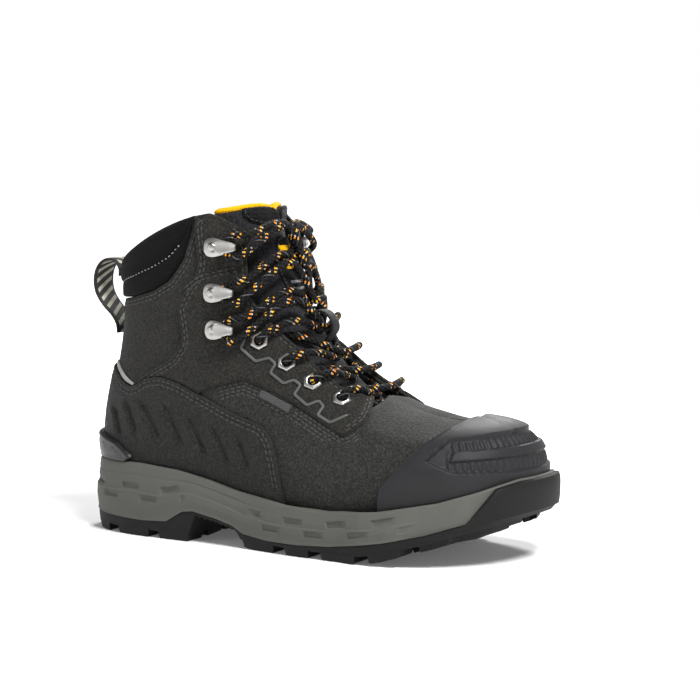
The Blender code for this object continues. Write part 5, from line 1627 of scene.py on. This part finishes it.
def strips(count, first, extra, columns=1):
    """Faces from the lateral to the medial side of one ring; extra holds the inner points' start."""
    half = count // 2
    rows = [[first]]
    for i in range(1, half):
        inner = [extra + (i - 1) * (columns - 1) + c for c in range(columns - 1)]
        rows.append([first + i] + inner + [first + count - i])
    rows.append([first + half])
    faces = []
    for a, b in zip(rows, rows[1:]):
        if len(a) == 1 or len(b) == 1:
            one, many = (a, b) if len(a) == 1 else (b, a)
            faces += [(one[0], many[c], many[c + 1]) for c in range(len(many) - 1)]
        else:
            faces += [(a[c], a[c + 1], b[c + 1], b[c]) for c in range(len(a) - 1)]
    return faces


def between_sides(ring, columns, height=None):
    """Points between a ring's lateral and medial sides, for strips()."""
    count = len(ring)
    out = []
    for i in range(1, count // 2):
        a, b = ring[i], ring[count - i]
        for c in range(1, columns):
            p = a + (b - a) * c / columns
            if height is not None:
                p = np.array([p[0], p[1], height(p[0])])
            out.append(p)
    return np.array(out).reshape(-1, 3)


def sole_solid(name, rings, mat, columns=(1, 1), heights=(None, None), sharp=40):
    count = len(rings[0])
    verts = np.concatenate(rings)
    faces = ring_faces(len(rings), count)
    for which, cols, height in zip((0, len(rings) - 1), columns, heights):
        extra = between_sides(rings[which], cols, height)
        faces += strips(count, which * count, len(verts), cols)
        verts = np.concatenate([verts, extra]) if len(extra) else verts
    return build(name, verts, faces, mat, sharp)


# Notches in the midsole wall: pitch and length along the sole.
NOTCH_PITCH = 31.0
NOTCH_LENGTH = 15.5


def wall_relief(x, v, height):
    """How far the midsole wall stands out of its plain shape, at x and v of the way up."""
    z = v * height
    toe = 1 - ease((x - 246) / 22)
    step = height * np.interp(x, (0, 60, 130, 200, 250), (0.50, 0.49, 0.46, 0.47, 0.5))
    line = height * np.interp(x, (0, 60, 120, 170), (0.78, 0.78, 0.76, 0.74))
    out = 0.95 * (1 - ease((z - step + 0.35) / 0.7)) * toe
    out = out - 0.45 * np.exp(-((z - line) / 0.42) ** 2) * (1 - ease((x - 128) / 40))
    arch = ease((x - 84) / 8) * (1 - ease((x - 134) / 12))
    for row, offset in ((1, 0.0), (0, NOTCH_PITCH / 2)):
        u = np.mod(x - 9 - offset, NOTCH_PITCH)
        along = ease(u / 1.4) * ease((NOTCH_LENGTH - u) / 4.5)
        tall = 3.6 if row else 3.4
        centre = step + (1.2 + tall / 2 if row else -1.6 - tall / 2)
        across = ease((tall / 2 + 0.35 - np.abs(z - centre)) / 0.7)
        fade = (1 - arch) * toe * (1 if row else ease((step - 7) / 2))
        out = out - 1.55 * along * across * fade
    foot_lip = 0.5 * np.exp(-(z / 0.9) ** 2)
    return out + foot_lip * toe


def make_midsole():
    o = Outline(760)
    foot = table(o.x, MIDSOLE_FOOT) + 0.3
    top = table(o.x, MIDSOLE_TOP)
    flush = np.interp(o.x, (236, 254), (0, 1))
    rings = []
    vs = np.concatenate([np.linspace(0, 0.94, 44), [0.965, 0.985, 0.997]])
    bulge = np.interp(vs, (0, 0.3, 0.62, 0.9, 1), (0.9, 1.9, 1.5, 0.5, 0.1))
    round_top = np.interp(vs, (0.94, 0.965, 0.985, 0.997), (0, 0.15, 0.5, 1.1))
    for v, swell, lip in zip(vs, bulge, round_top):
        relief = wall_relief(o.x, v, top - foot)
        out = table(o.x, RIM_FACE) + (swell + relief * 0.9) * (1 - flush) - 0.3 * flush
        rings.append(o.ring(out - lip, foot + v * (top - foot)))
    rings.append(o.ring(table(o.x, TRAY_WALL) + 0.6, top))
    rings.append(o.ring(table(o.x, TRAY_WALL), top - 0.4))
    rings.append(o.ring(table(o.x, TRAY_WALL), o.feather[:, 2] - 2.4, True))
    obj = sole_solid("midsole_foam_wall", rings, MIDSOLE)
    place(obj, "boot", "midsole_foam", "midsole")


def ground(x):
    return table(x, GROUND_LINE)


def web(x):
    """Underside of the sole between its lugs."""
    return np.minimum(ground(x) + 4.2, table(x, MIDSOLE_FOOT) - 2.2)


# Lugs seen from the side: (start, end) along the boot.
LUGS = (
    (13, 28), (36, 62), (69, 92), (133, 157), (165, 183), (191, 216), (224, 244), (252, 269), (275, 291),
)
INNER_LUGS = (
    (22, 40), (46, 64), (70, 88), (138, 154), (160, 178), (184, 204), (210, 230), (236, 254), (260, 276),
)


def bevelled_block(verts, faces, base, top, bevel=0.9):
    """Add a block from a base polygon up (down, for lugs) to a smaller bevelled face."""
    centre = base.mean(0)
    first = len(verts)
    n = len(base)
    levels = ((base, 0.0), (top, 0.0), (top, bevel))
    for ring, shrink in levels:
        for i, p in enumerate(ring):
            d = centre[:2] - p[:2]
            q = p.copy()
            q[:2] += d / max(np.linalg.norm(d), 1e-6) * shrink
            q[2] += (0.55 if ring is top and not shrink else 0.0)
            verts.append(q)
    for k in range(2):
        for i in range(n):
            j = (i + 1) % n
            a, b = first + k * n + i, first + k * n + j
            faces.append((a, b, b + n, a + n))
    faces.append(tuple(first + i for i in range(n))[::-1])
    faces.append(tuple(first + 2 * n + i for i in range(n)))


def make_outsole():
    o = Outline(480)
    x = o.x
    foot, low = table(x, MIDSOLE_FOOT), web(x)
    swell = np.interp(x, (277, 289), (0, 1))
    rim = np.where(x > 276, np.maximum(foot, table(x, BUMPER_TOP)), foot)
    shoulder = rim - 0.3 * swell * (rim - foot)
    face = table(x, RIM_FACE)
    lip = np.interp(x, (262, 278), (0, 1))
    rings = [
        o.ring(face - 2.2 - 2.0 * lip, low),
        o.ring(face + 0.3 - 1.8 * lip, low + 0.1),
        o.ring(face + 1.1 + 0.6 * swell, low + 0.9 + 3.2 * lip),
        o.ring(face + 1.5 + 1.1 * swell, (low + foot) / 2 + 1.5 * swell),
        o.ring(face + 1.6 + 1.6 * swell, foot + 0.35 * (shoulder - foot)),
        o.ring(face + 1.7 + 1.7 * swell, shoulder),
        o.ring(face + 1.6 + 1.5 * swell, shoulder + 0.6 * (rim - shoulder)),
        o.ring(face + 1.3 + 1.1 * swell, rim - 0.45),
        o.ring(face + 0.9 + 0.7 * swell, rim - 0.05),
        o.ring(face + 0.1, rim),
        o.ring(face - 0.1, np.maximum(foot, rim - 0.6 * (rim - foot))),
        o.ring(face - 0.15, foot),
    ]
    slab = sole_solid("outsole_slab", rings, OUTSOLE, (8, 1), (web, None), 32)
    place(slab, "boot", "outsole_rubber", "outsole")
    verts, faces = [], []
    half = o.count // 2

    def edge_at(at_x, side, flare):
        part = slice(0, half + 1) if side < 0 else slice(half, None)
        xs, order = x[part], np.argsort(x[part])
        pts = (o.rim + o.out * (face + flare)[:, None])[part][order]
        return np.array([np.interp(at_x, xs[order], pts[:, k]) for k in range(2)])

    for side in (-1, 1):
        for number, (x0, x1) in enumerate(LUGS):
            steps = 6
            outer_top, outer_low, inner = [], [], []
            for k in range(steps + 1):
                xx = x0 + (x1 - x0) * k / steps
                e = edge_at(xx, side, 1.3 if xx < 250 else -5.0)
                g = edge_at(xx, side, 0.5 if xx < 250 else -7.0)
                jog = 3.0 if number % 2 else 0.0
                deep = 17 + jog - (4 if 0.25 < k / steps < 0.75 else 0)
                i = np.array([xx, edge_at(xx, side, 1.3)[1] - side * deep])
                outer_top.append([e[0], e[1], web(xx) + 1.2])
                outer_low.append([g[0], g[1], ground(xx)])
                inner.append([i[0], i[1], web(xx) + 1.2])
            base = np.array(outer_top + inner[::-1])
            low_ring = np.array(outer_low + [[p[0], p[1] + side * 0.8, ground(p[0])] for p in inner[::-1]])
            for ring, pull in ((base, 0.0), (low_ring, 0.9)):
                mid = (x0 + x1) / 2
                ring[:, 0] += np.sign(mid - ring[:, 0]) * pull * (np.abs(ring[:, 0] - mid) > (x1 - x0) * 0.4)
            bevelled_block(verts, faces, base, low_ring)
    for x0, x1 in INNER_LUGS:
        left, right = edge_at((x0 + x1) / 2, -1, 0)[1] + 22, edge_at((x0 + x1) / 2, 1, 0)[1] - 22
        mid = (left + right) / 2
        for y0, y1 in ((left, mid - 1.6), (mid + 1.6, right)):
            slant = 3.0 if y1 < mid else -3.0
            ring = [(x0 + slant, y0), (x1 + slant, y0), (x1, y1), (x0, y1)]
            if y1 > mid:
                ring = [(x0, y0), (x1, y0), (x1 - slant, y1), (x0 - slant, y1)]
            base = np.array([(a, b, web(a) + 1.2) for a, b in ring])
            centre = base.mean(0)
            low_ring = np.array([
                (a + np.sign(centre[0] - a) * 0.8, b + np.sign(centre[1] - b) * 0.8, ground(a))
                for a, b in ring])
            bevelled_block(verts, faces, base, low_ring, 0.6)
    for k in range(9):
        xx = ARCH[0] + 5 + k * 3.9
        left, right = edge_at(xx, -1, -1.2)[1], edge_at(xx, 1, -1.2)[1]
        ring = [(xx, left), (xx + 2.0, left), (xx + 2.0, right), (xx, right)]
        base = np.array([(a, b, web(a) + 0.8) for a, b in ring])
        low_ring = np.array([(a, b, web(a) - 1.3) for a, b in ring])
        bevelled_block(verts, faces, base, low_ring, 0.3)
    lugs = build("outsole_lugs", np.array(verts), faces, OUTSOLE, 25)
    place(lugs, "boot", "outsole_rubber")


def make_footbed():
    o = Outline(240)
    f = o.feather[:, 2]
    cup = np.interp(o.x, (0, 90, 150), (4.5, 3.0, 0.8))
    rings = [o.ring(flare, f + rise + cup * share, True) for flare, rise, share in BED_RINGS]
    bed = place(sole_solid("footbed_cushion", rings, FOOTBED, (1, 10)), "footbed", "footbed_foam", "footbed")


# ------------------------------------------------------------------ hardware

def frame_at(t, s):
    """Forward, up and out directions at a place on the upper."""
    e = 0.02
    out = normal(t, s)
    up = surf(t, min(s + e, 1)) - surf(t, max(s - e, 0))
    up = up - out * np.dot(up, out)
    up = up / np.linalg.norm(up)
    forward = np.cross(up, out)
    return (forward if forward[0] > 0 else -forward), up, out


def lathe(name, centre, axes, levels, sides, mat, shape=None, closed=False):
    """Rings of (radius, height) about a centre; shape turns an angle and radius into a distance."""
    forward, up, out = axes
    angle = np.arange(sides) * 2 * math.pi / sides
    verts = []
    for index, (r, h) in enumerate(levels):
        rr = shape(angle, r, index) if shape else np.full(sides, r)
        flat = forward * (rr * np.cos(angle))[:, None], up * (rr * np.sin(angle))[:, None]
        verts.append(centre + flat[0] + flat[1] + out * h)
    n = len(levels)
    faces = ring_faces(n, sides, wrap_rows=True) if closed else tube_faces(n, sides)
    return build(name, np.concatenate(verts), faces, mat, 35)


def hex_shape(angle, r, index):
    """Hexagon with cut corners on the outer rings, going over to a circle."""
    a = np.mod(angle + math.pi / 6, math.pi / 3) - math.pi / 6
    hexagon = np.minimum(r / np.cos(a), r * 1.115)
    share = (1, 1, 1, 1, 0.7, 0.15, 0, 0, 0, 0, 0, 0, 0)[index]
    return hexagon * share + r * (1 - share)


EYELET_LEVELS = (
    (4.9, 2.15), (5.15, 2.45), (5.15, 3.0), (4.85, 3.45), (4.35, 3.75), (3.75, 3.95), (3.25, 3.8),
    (2.9, 3.35), (2.75, 2.6), (2.75, -2.3), (3.1, -2.3), (3.1, 2.0), (3.4, 2.15),
)


def make_eyelet(side, number, word):
    t, s = find("side", EYELETS, side)[number]
    obj = lathe(f"eyelet_{word}_{number + 1}_ring", surf(t, s), frame_at(t, s), EYELET_LEVELS, 60, STEEL,
                hex_shape, closed=True)
    place(obj, "boot", "eyelet_steel", f"eyelet_{word}_{number + 1}")


def with_ends(pts):
    """The points with one more before and one more after them, straight on."""
    return np.concatenate([2 * pts[:1] - pts[1:2], pts, 2 * pts[-1:] - pts[-2:-1]])


def catmull_at(f, a, b, c, d):
    """Catmull-Rom curve from b to c at the share f."""
    return 0.5 * (2 * b + (c - a) * f + (2 * a - 5 * b + 4 * c - d) * f * f
                  + (3 * b - a - 3 * c + d) * f ** 3)


# Hook seen along its fold: distance forward, height and half width.
HOOK_SPINE = (
    (-9.6, 0.5, 1.6), (-9.3, 0.5, 3.2), (-8, 0.5, 4.8), (-5.8, 0.5, 5.6), (-3.4, 0.5, 5.6), (-0.8, 0.5, 5.0),
    (1.6, 0.5, 4.3), (4, 0.6, 3.7), (6.2, 0.9, 3.1), (8.4, 2.0, 2.5), (10.0, 3.8, 2.0), (9.9, 5.6, 2.0),
    (8.0, 6.9, 2.7), (5.0, 7.5, 3.6), (2.2, 7.6, 4.1), (0.0, 7.4, 3.6), (-1.2, 7.2, 2.0),
)


RIVET_LEVELS = (
    (3.3, 1.05), (3.5, 1.45), (3.35, 1.8), (2.9, 1.95), (2.75, 2.3), (2.4, 2.85), (1.7, 3.25), (0.9, 3.45),
    (0.2, 3.5),
)


def make_hook(side, number, word):
    """Sheet-metal speed hook: plate, throat and back-turned tongue with a pressed V in it."""
    t, s = find("side", HOOKS, side)[number]
    forward, up, out = frame_at(t, s)
    centre = surf(t, s) + out * HOOK_SEAT
    spine = np.array(HOOK_SPINE)
    u = np.linspace(0, len(spine) - 1, 65)
    k = np.minimum(u.astype(int), len(spine) - 2)
    ext = with_ends(spine)
    fine = catmull_at((u - k)[:, None], ext[k], ext[k + 1], ext[k + 2], ext[k + 3])
    tangent = unit(np.gradient(fine[:, :2], axis=0))
    nx, nh = -tangent[:, 1], tangent[:, 0]
    across = np.linspace(-1, 1, 13)
    verts = []
    for i in range(len(fine)):
        x, h, w = fine[i]
        share = i / (len(fine) - 1)
        rib = 0.55 * np.exp(-((np.abs(across) - 0.5 * max(0, (share - 0.62) / 0.3)) / 0.22) ** 2)
        press = np.where(share > 0.58, rib * ease((share - 0.58) / 0.1), 0)
        press = press * (1 - ease((share - 0.93) / 0.06))
        curl = 0.35 * across ** 2
        loop = []
        for y, face_h in list(zip(across, 0.5 - 0.35 * across ** 6 + press - curl)) + list(
                zip(across[::-1], -0.5 + 0.3 * across[::-1] ** 6 - curl[::-1])):
            loop.append(centre + forward * (x + nx[i] * face_h) + out * (h + nh[i] * face_h) + up * (y * w))
        verts += loop
    faces = tube_faces(len(fine), 2 * len(across))
    obj = build(f"hook_{word}_{number + 1}_plate", np.array(verts), faces, STEEL, 50)
    place(obj, "boot", "hook_steel", f"hook_{word}_{number + 1}")
    name = f"hook_rivet_{word}_{number + 1}"
    obj = lathe(name + "_dome", centre - forward * 4.5, (forward, up, out), RIVET_LEVELS, 32, STEEL)
    place(obj, "boot", "hook_steel", name)


# ------------------------------------------------------------------ loop, keeper and lace

def catmull(points, per_span):
    """Smooth curve through all the points."""
    ext = with_ends(np.array(points, float))
    out = []
    for k in range(len(points) - 1):
        out += [catmull_at(i / per_span, *ext[k:k + 4]) for i in range(per_span)]
    return np.array(out + [ext[-2]])


LOOP_PATH = (
    (15.9, 157), (15.6, 162), (11.5, 167), (4, 167), (-1.5, 162), (-3.6, 154), (-2, 145.5), (3.5, 138),
    (9.5, 132.5), (13.2, 127), (14.2, 121),
)


def flat_profile(width, thick, crown=0.0):
    """Closed profile of a band with rounded edges."""
    y = np.linspace(-1, 1, 17)
    h = thick / 2 * (1 - np.abs(y) ** 10 * 0.55)
    top = np.stack([y * width / 2, h + crown * (1 - y * y)], -1)
    low = np.stack([y[::-1] * width / 2, -h[::-1] + crown * (1 - y * y)], -1)
    return np.concatenate([top, low])


def middle_band(name, path, profile, mat, uv=None):
    """A band along a path in the boot's middle plane; its directions come back too."""
    d = unit(np.gradient(path, axis=0))
    ups = np.stack([-d[:, 2], d[:, 0] * 0, d[:, 0]], -1)
    sides = np.tile([0.0, 1.0, 0.0], (len(path), 1))
    return sweep(name, path, sides, ups, profile, mat, uv=uv), d, ups


def make_pull_loop():
    path = catmull([(x, 0, z) for x, z in LOOP_PATH], 9)
    obj, d, ups = middle_band("pull_loop_webbing", path, flat_profile(20, 1.7), WEBBING, "flat")
    place(obj, "boot", "loop_webbing", "pull_loop")
    verts, faces = [], []
    for z in (124.5, 129.5):
        k = int(np.argmin(np.abs(path[:, 2] - z) + (path[:, 0] < 5) * 50))
        for i in range(7):
            y = -7.5 + i * 2.5
            first = len(verts)
            for f in np.linspace(-0.9, 0.9, 5):
                c = path[k] - ups[k] * 0.85 + np.array([0, y + f, 0])
                r = 0.32 * math.sqrt(max(0.05, 1 - (f / 1.0) ** 2))
                for a in np.arange(6) * math.pi / 3:
                    verts.append(c + d[k] * r * math.cos(a) + ups[k] * r * math.sin(a))
            faces += [tuple(first + v for v in face) for face in tube_faces(5, 6)]
    place(build("pull_loop_stitching", np.array(verts), faces, THREAD, 80), "boot", "loop_webbing")


KEEPER_PATH = (
    (141.2, -7.5), (140, -6.0), (139, 1.5), (136.2, 5.6), (130.6, 7.1), (126.4, 5.6), (124.8, 1.5),
    (123.6, -6.0), (122.2, -7.5),
)


def ridge_off(z, lift):
    """Point over the ridge's unrounded edge at height z."""
    t = ridge_z(z)
    p = (raw(t, 1.0) + raw(-t, 1.0)) / 2
    n, _, _ = ridge_normal(t)
    return p * [1, 0, 1] + n * lift


def make_keeper():
    path = catmull([ridge_off(z, lift) for z, lift in KEEPER_PATH], 7)
    obj, _, _ = middle_band("lace_keeper_strap", path, flat_profile(9, 1.4, 0.15), KEEPER)
    place(obj, "tongue", "keeper_leather", "lace_keeper")


# Lace sizes, then its heights over the surface: on the tongue over and under the other strand,
# behind the leather, and beside the throat.
LACE_RADIUS = 2.2
AGLET_RADIUS = 1.9
AGLET_LENGTH = 18.0
OVER, UNDER, INSIDE, BESIDE = 0.4, -4.5, -5.3, 5.0
CROSSING_HEIGHTS = (94.5, 104.5, 115, 130, 145, 165)
PLACES = {}


def centripetal(points, per_span):
    """Smooth curve through route points that doesn't overshoot where they are close together."""
    pts = [np.array(p, float) for p in points]
    ext = [2 * pts[0] - pts[1]] + pts + [2 * pts[-1] - pts[-2]]
    out = []
    for k in range(len(pts) - 1):
        a, b, c, d = ext[k:k + 4]
        k1 = math.sqrt(np.linalg.norm(b - a))
        k2 = k1 + math.sqrt(np.linalg.norm(c - b))
        k3 = k2 + math.sqrt(np.linalg.norm(d - c))
        for i in range(per_span):
            u = k1 + (k2 - k1) * i / per_span
            p = (k1 - u) / k1 * a + u / k1 * b
            q = (k2 - u) / (k2 - k1) * b + (u - k1) / (k2 - k1) * c
            r = (k3 - u) / (k3 - k2) * c + (u - k2) / (k3 - k2) * d
            v = (k2 - u) / k2 * p + u / k2 * q
            w = (k3 - u) / (k3 - k1) * q + (u - k1) / (k3 - k1) * r
            out.append((k2 - u) / (k2 - k1) * v + (u - k1) / (k2 - k1) * w)
    return out + [pts[-1]]


def point(t, s, d):
    """Scalar off(); on the ridge it uses the CAD's unrounded edge."""
    tt = t % SPAN
    if s > 0.9999 and CORNER <= tt <= SPAN - CORNER:
        p = (raw(t, 1.0) + raw(-t, 1.0)) / 2 * [1, 0, 1]
        n, _, _ = ridge_normal(t)
        return p + n * d
    return surf(t, s) + normal(t, s) * d


def mid_place(a, b, f):
    """The place a share f of the way from a to b."""
    return a[0] + (b[0] - a[0]) * f, a[1] + (b[1] - a[1]) * f


def row_place(row, side):
    if (row, side) not in PLACES:
        spot = EYELETS[3 - row] if row < 4 else HOOKS[row - 4]
        PLACES[row, side] = tuple(float(v) for v in find("side", (spot,), side)[0])
    return PLACES[row, side]


def leave_eyelet(place_at, ridge):
    """Up through an eyelet from behind and over toward the ridge."""
    c, n = surf(*place_at), normal(*place_at)
    toward = surf(*mid_place(place_at, ridge, 0.3)) - c
    toward = toward - n * np.dot(toward, n)
    toward = toward / np.linalg.norm(toward)
    return [c + n * -3.6, c + n * -1.2, c + n * 1.6, c + n * 4.2, c + n * 6.6 + toward * 1.6,
            c + n * 7.0 + toward * 5.2]


def reach_eyelet(place_at, ridge):
    """Behind the leather to just before an eyelet."""
    return [point(*mid_place(place_at, ridge, f), INSIDE) for f in (0.34, 0.17)]


# Round a hook, from the tongue and back to it: distance forward, upward and out.
HOOK_TURN = (
    (19.5, -0.5, 3.6), (14.5, -4.6, 3.6), (10.5, -7.0, 3.7), (7.2, -6.2, 3.7), (4.9, -3.5, 3.7),
    (4.1, 0, 3.7), (4.9, 3.6, 3.7), (7.4, 6.2, 3.7), (11, 7.4, 3.6), (17, 7.8, 3.2),
)


def round_hook(row, side):
    t, s = row_place(row, side)
    forward, up, out = frame_at(t, s)
    c = surf(t, s) + out * HOOK_SEAT
    return [c + forward * x + up * y + out * h for x, y, h in HOOK_TURN]


def between(place_at, ridge, f, lift):
    """A point on the way to the ridge, going over from the throat's height to the tongue's."""
    share = {0.6: 0.4, 0.82: 0.8}[f]
    return point(*mid_place(place_at, ridge, f), (1 - share) * BESIDE + share * lift)


def sides_of(ridge, side):
    lateral, medial = (ridge, 1.0), (SPAN - ridge, 1.0)
    return (lateral, medial) if side < 0 else (medial, lateral)


def crossing(row, side, lift):
    """From the given side at this row over the tongue to the other side at the next row."""
    start, end = row_place(row, side), row_place(row + 1, -side)
    ridge = ridge_z(CROSSING_HEIGHTS[row])
    near, far = sides_of(ridge, side)
    if row < 4:
        points = leave_eyelet(start, near)
        points.append(point(*mid_place(start, near, 0.36), 6.0))
    else:
        points = round_hook(row, side)
    points += [between(start, near, f, lift) for f in (0.6, 0.82)]
    points.append(point(ridge, 1, lift))
    if row + 1 < 4:
        points.append(point(*mid_place(end, far, 0.78), 0.65 * lift + 0.35 * INSIDE))
        points.append(point(*mid_place(end, far, 0.55), 0.15 * lift + 0.85 * INSIDE))
        return points + reach_eyelet(end, far)
    return points + [between(end, far, f, lift) for f in (0.82, 0.6)]


# Where the lace's end goes down beside the tongue, seen from the side.
TUCK_PATH = ((137.5, 172), (131, 167), (125, 161), (121.5, 154), (120.5, 146), (122.5, 138))


def tuck(side):
    """From the top hook over the tongue and down inside the other side."""
    ridge = ridge_z(178)
    start = row_place(6, side)
    near, _ = sides_of(ridge, side)
    lift = OVER if side < 0 else UNDER
    points = round_hook(6, side)
    points += [between(start, near, f, lift) for f in (0.6, 0.82)]
    points.append(point(ridge, 1, lift))
    down = find("side", TUCK_PATH, -side)
    return points + [point(t, s, -3.8 if k == 0 else INSIDE) for k, (t, s) in enumerate(down)]


def half_lace(side):
    """One end of the lace: six crossings and the tuck, changing sides at each."""
    points, hand = [], side
    for row in range(6):
        lift = OVER if (row + (side > 0)) % 2 else UNDER
        points += crossing(row, hand, lift)
        hand = -hand
    return points + tuck(hand)


def make_lace():
    ridge = ridge_z(91.5)
    lateral, medial = sides_of(ridge, -1)
    left = [point(*mid_place(row_place(0, -1), lateral, f), INSIDE) for f in (0.6, 0.25)]
    right = [point(*mid_place(row_place(0, 1), medial, f), INSIDE) for f in (0.6, 0.25)]
    route = half_lace(-1)[::-1] + left[::-1] + [point(ridge, 1, INSIDE)] + right + half_lace(1)
    dense = np.array(centripetal(route, 14))
    run = run_along(dense)
    total, tip = run[-1], AGLET_LENGTH
    parts = (
        ("lace_cord_braid", tip + 0.6, total - tip - 0.6, LACE_RADIUS, LACE, "lace_cord", "lace"),
        ("aglet_1_tip", 0, tip, AGLET_RADIUS, AGLET, "aglet_plastic", "aglet_1"),
        ("aglet_2_tip", total - tip, total, AGLET_RADIUS, AGLET, "aglet_plastic", "aglet_2"),
    )
    for name, start, stop, radius, mat, slot, node in parts:
        where = np.linspace(start, stop, max(12, int((stop - start) / 1.25)))
        p = read_off(where, run, dense)
        for _ in range(2):
            p[1:-1] = (p[:-2] + 2 * p[1:-1] + p[2:]) / 4
        d = unit(np.gradient(p, axis=0))
        ups = np.zeros_like(p)
        up = unit(np.cross(d[0], (0.3, 0.2, 1)))
        for i in range(len(p)):
            up = unit(up - d[i] * np.dot(up, d[i]))
            ups[i] = up
        sides = np.cross(d, ups)
        angle = np.arange(12) * 2 * math.pi / 12
        profile = np.stack([radius * np.cos(angle), radius * np.sin(angle)], -1)
        obj = sweep(name, p, sides, ups, profile, mat, uv="round", taper=2, sharp=80)
        place(obj, "boot", slot, node)


HIDDEN = {
    "steel_toe_cap": CAP_STEEL, "heel_counter": BOARD, "puncture_plate": CAP_STEEL, "shank": CAP_STEEL,
    "insole_board": BOARD,
}


def finish_hidden():
    """Hidden CAD nodes keep their shapes and only get a material."""
    for node, mat in HIDDEN.items():
        slots = frame["nodes"][node].data.materials
        for k in range(len(slots)):
            slots[k] = mat
        if not slots:
            slots.append(mat)


def main():
    make_camera()
    make_stage()
    make_midsole()
    make_outsole()
    make_footbed()
    make_clip()
    make_lining()
    make_vamp()
    for side, word in SIDES:
        make_quarter(side, word)
        make_eyestay(side, word)
        make_gusset(side, word)
        make_heel_piping(side, word)
        make_piping(side, word)
        for number in range(4):
            make_eyelet(side, number, word)
        for number in range(3):
            make_hook(side, number, word)
    make_wrap()
    make_backstay()
    make_collar()
    make_guard()
    make_tongue()
    make_pad()
    make_patch()
    make_label()
    make_pull_loop()
    make_keeper()
    make_lace()
    finish_hidden()


main()
